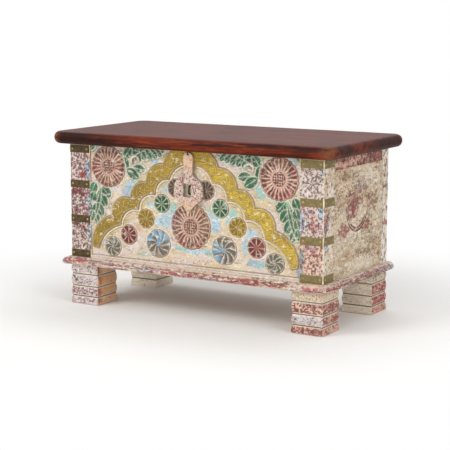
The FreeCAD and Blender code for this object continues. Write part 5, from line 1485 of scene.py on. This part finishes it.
def hasp_metal():
    """Whitewash worn off a dark forged hasp, with black and red flecks, peach on its neck and
    tip."""
    material, tree = new_material("whitewashed hasp")
    mottle = grain(tree, 12, 3)
    speck = grain(tree, 3.4, 3)
    place = add(tree, "SeparateXYZ", {0: add(tree, "TexCoord", {})["Object"]})[2]
    low, high = (edge[2] * MM for edge in box("hasp"))
    neck, tip = (eased(tree, place, low + (high - low) * start, low + (high - low) * end)
                 for start, end in ((0.62, 0.76), (0.30, 0.12)))
    ends = add(tree, "Math", {0: neck, 1: tip}, operation="MAXIMUM")[0]
    colour = laid(tree, linear("B79C8C"), linear("D6C5BC"), mottle, 0.36, 0.65, 1.0)
    inputs = {0: spread(tree, ends, 0.0, 0.9), 6: colour, 7: linear("CFAE90")}
    colour = add(tree, "Mix", inputs, data_type="RGBA")[2]
    colour = laid(tree, colour, linear("8F6C50"), mottle, 0.5, 0.64, 0.35)
    # Its ends have fewer flecks
    shown = spread(tree, ends, 0.9, 0.3)
    colour = laid(tree, colour, PAINT["maroon"], grain(tree, 5.5, 3), 0.56, 0.63, shown)
    colour = laid(tree, colour, PAINT["dark"], speck, 0.54, 0.6, shown)
    return finished(material, colour, 0.6, dented(tree, (speck, -0.3)))


PLAIN_FINISHES = (
    (WOOD_X, ("floor_board", "back_panel")),
    (WOOD_Y, ("lid_batten_left", "lid_batten_right")),
    (WOOD_Z, ("foot_dowels",)),
    (STEEL, ("base_screws", "batten_screws", "hinge_screws_case", "hinge_screws_lid")),
    (IRON, ("hasp_eye", "lock_staple", "hinge_case_leaf_left", "hinge_case_leaf_right",
            "hinge_lid_leaf_left", "hinge_lid_leaf_right", "hinge_pin_left", "hinge_pin_right")),
    (hasp_metal(), ("hasp",)),
)


def dress_plain_nodes():
    """Gives every CAD node that is still shown its own material."""
    for material, names in PLAIN_FINISHES:
        for name in names:
            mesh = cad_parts[name].data
            mesh.materials.clear()
            mesh.materials.append(material)


# Floor, light and camera

FLOOR_HALF = 30.0


def floor_surface():
    """A pale floor that takes the trunk's shadow, and turns into the white background away
    from it, as seen by the camera only."""
    material, tree = new_material("pale floor")
    pale = add(tree, "BsdfPrincipled", {"Base Color": linear("F6F5F3"), "Roughness": 0.9})[0]
    where = add(tree, "TexCoord", {})["Object"]
    away = add(tree, "VectorMath", {0: where}, operation="LENGTH")["Value"]
    seen = add(tree, "LightPath", {})["Is Camera Ray"]
    white = add(tree, "Emission", {"Color": (1, 1, 1), "Strength": 1.0})[0]
    mix = add(tree, "MixShader", {0: eased(tree, away, 0.42, 1.1, seen), 1: pale, 2: white})[0]
    add(tree, "OutputMaterial", {"Surface": mix})
    return material


def make_stage():
    """A wide pale floor."""
    mesh = bpy.data.meshes.new("floor")
    corners = [(x * FLOOR_HALF, y * FLOOR_HALF, 0) for x, y in ((-1, -1), (1, -1), (1, 1), (-1, 1))]
    mesh.from_pydata(corners, [], [(0, 1, 2, 3)])
    mesh.materials.append(floor_surface())
    floor = bpy.data.objects.new("floor", mesh)
    bpy.context.scene.collection.objects.link(floor)


def add_light(name, place, target, width, height, power):
    """A soft rectangular light that points at a place: sizes in metres, power in watts."""
    light = bpy.data.lights.new(name, "AREA")
    light.shape = "RECTANGLE"
    light.size, light.size_y, light.energy = width, height, power
    lamp = bpy.data.objects.new(name, light)
    lamp.location = place
    lamp.rotation_euler = (Vector(target) - Vector(place)).to_track_quat("-Z", "Y").to_euler()
    bpy.context.scene.collection.objects.link(lamp)


def make_light():
    """A pale world that is white where it is seen, a large key from the front left, and
    weaker lights from the right, from low in front and from above."""
    world = bpy.data.worlds.new("studio")
    bpy.context.scene.world = world
    world.use_nodes = True
    tree = world.node_tree
    tree.nodes.clear()
    path = add(tree, "LightPath", {})
    seen = path["Is Camera Ray"]
    for kind in ("Is Glossy Ray", "Is Transmission Ray"):
        seen = add(tree, "Math", {0: seen, 1: path[kind]}, operation="MAXIMUM")[0]
    background = add(tree, "Background", {"Color": (1, 1, 1), "Strength": spread(tree, seen, 0.55, 1.0)})
    add(tree, "OutputWorld", {"Surface": background[0]})
    add_light("key", (-1.6, -3.0, 2.6), (0, 0, 0.2), 1.8, 1.4, 62)
    add_light("fill", (3.2, -1.2, 1.8), (0, 0, 0.2), 1.8, 1.6, 34)
    add_light("low", (0.9, -3.2, 0.5), (0, 0, 0.1), 2.4, 0.8, 26)
    add_light("top", (0.2, 1.2, 3.2), (0, 0, 0.4), 2.4, 1.4, 24)


# The camera's place in metres, its turn and its tilt down in degrees, its lens and the width
# of its picture in millimetres
CAMERA_PLACE, CAMERA_TURN, CAMERA_DOWN = (1.771, -2.920, 0.761), 31.28, 9.13
LENS, PICTURE_WIDTH = 108.16, 36


def make_camera():
    """The photo's viewpoint: in front and to the right, a little above the lid."""
    turn, down = math.radians(CAMERA_TURN), math.radians(CAMERA_DOWN)
    forward = Vector((-math.sin(turn) * math.cos(down), math.cos(turn) * math.cos(down), -math.sin(down)))
    data = bpy.data.cameras.new("camera")
    data.lens, data.sensor_width = LENS, PICTURE_WIDTH
    camera = bpy.data.objects.new("camera", data)
    camera.location = CAMERA_PLACE
    camera.rotation_euler = forward.to_track_quat("-Z", "Y").to_euler()
    bpy.context.scene.collection.objects.link(camera)
    bpy.context.scene.camera = camera


make_front()
make_sides()
make_posts()
make_base()
make_lid()
make_metalwork()
dress_plain_nodes()
make_stage()
make_light()
make_camera()
bpy.context.scene.view_settings.view_transform = "Standard"
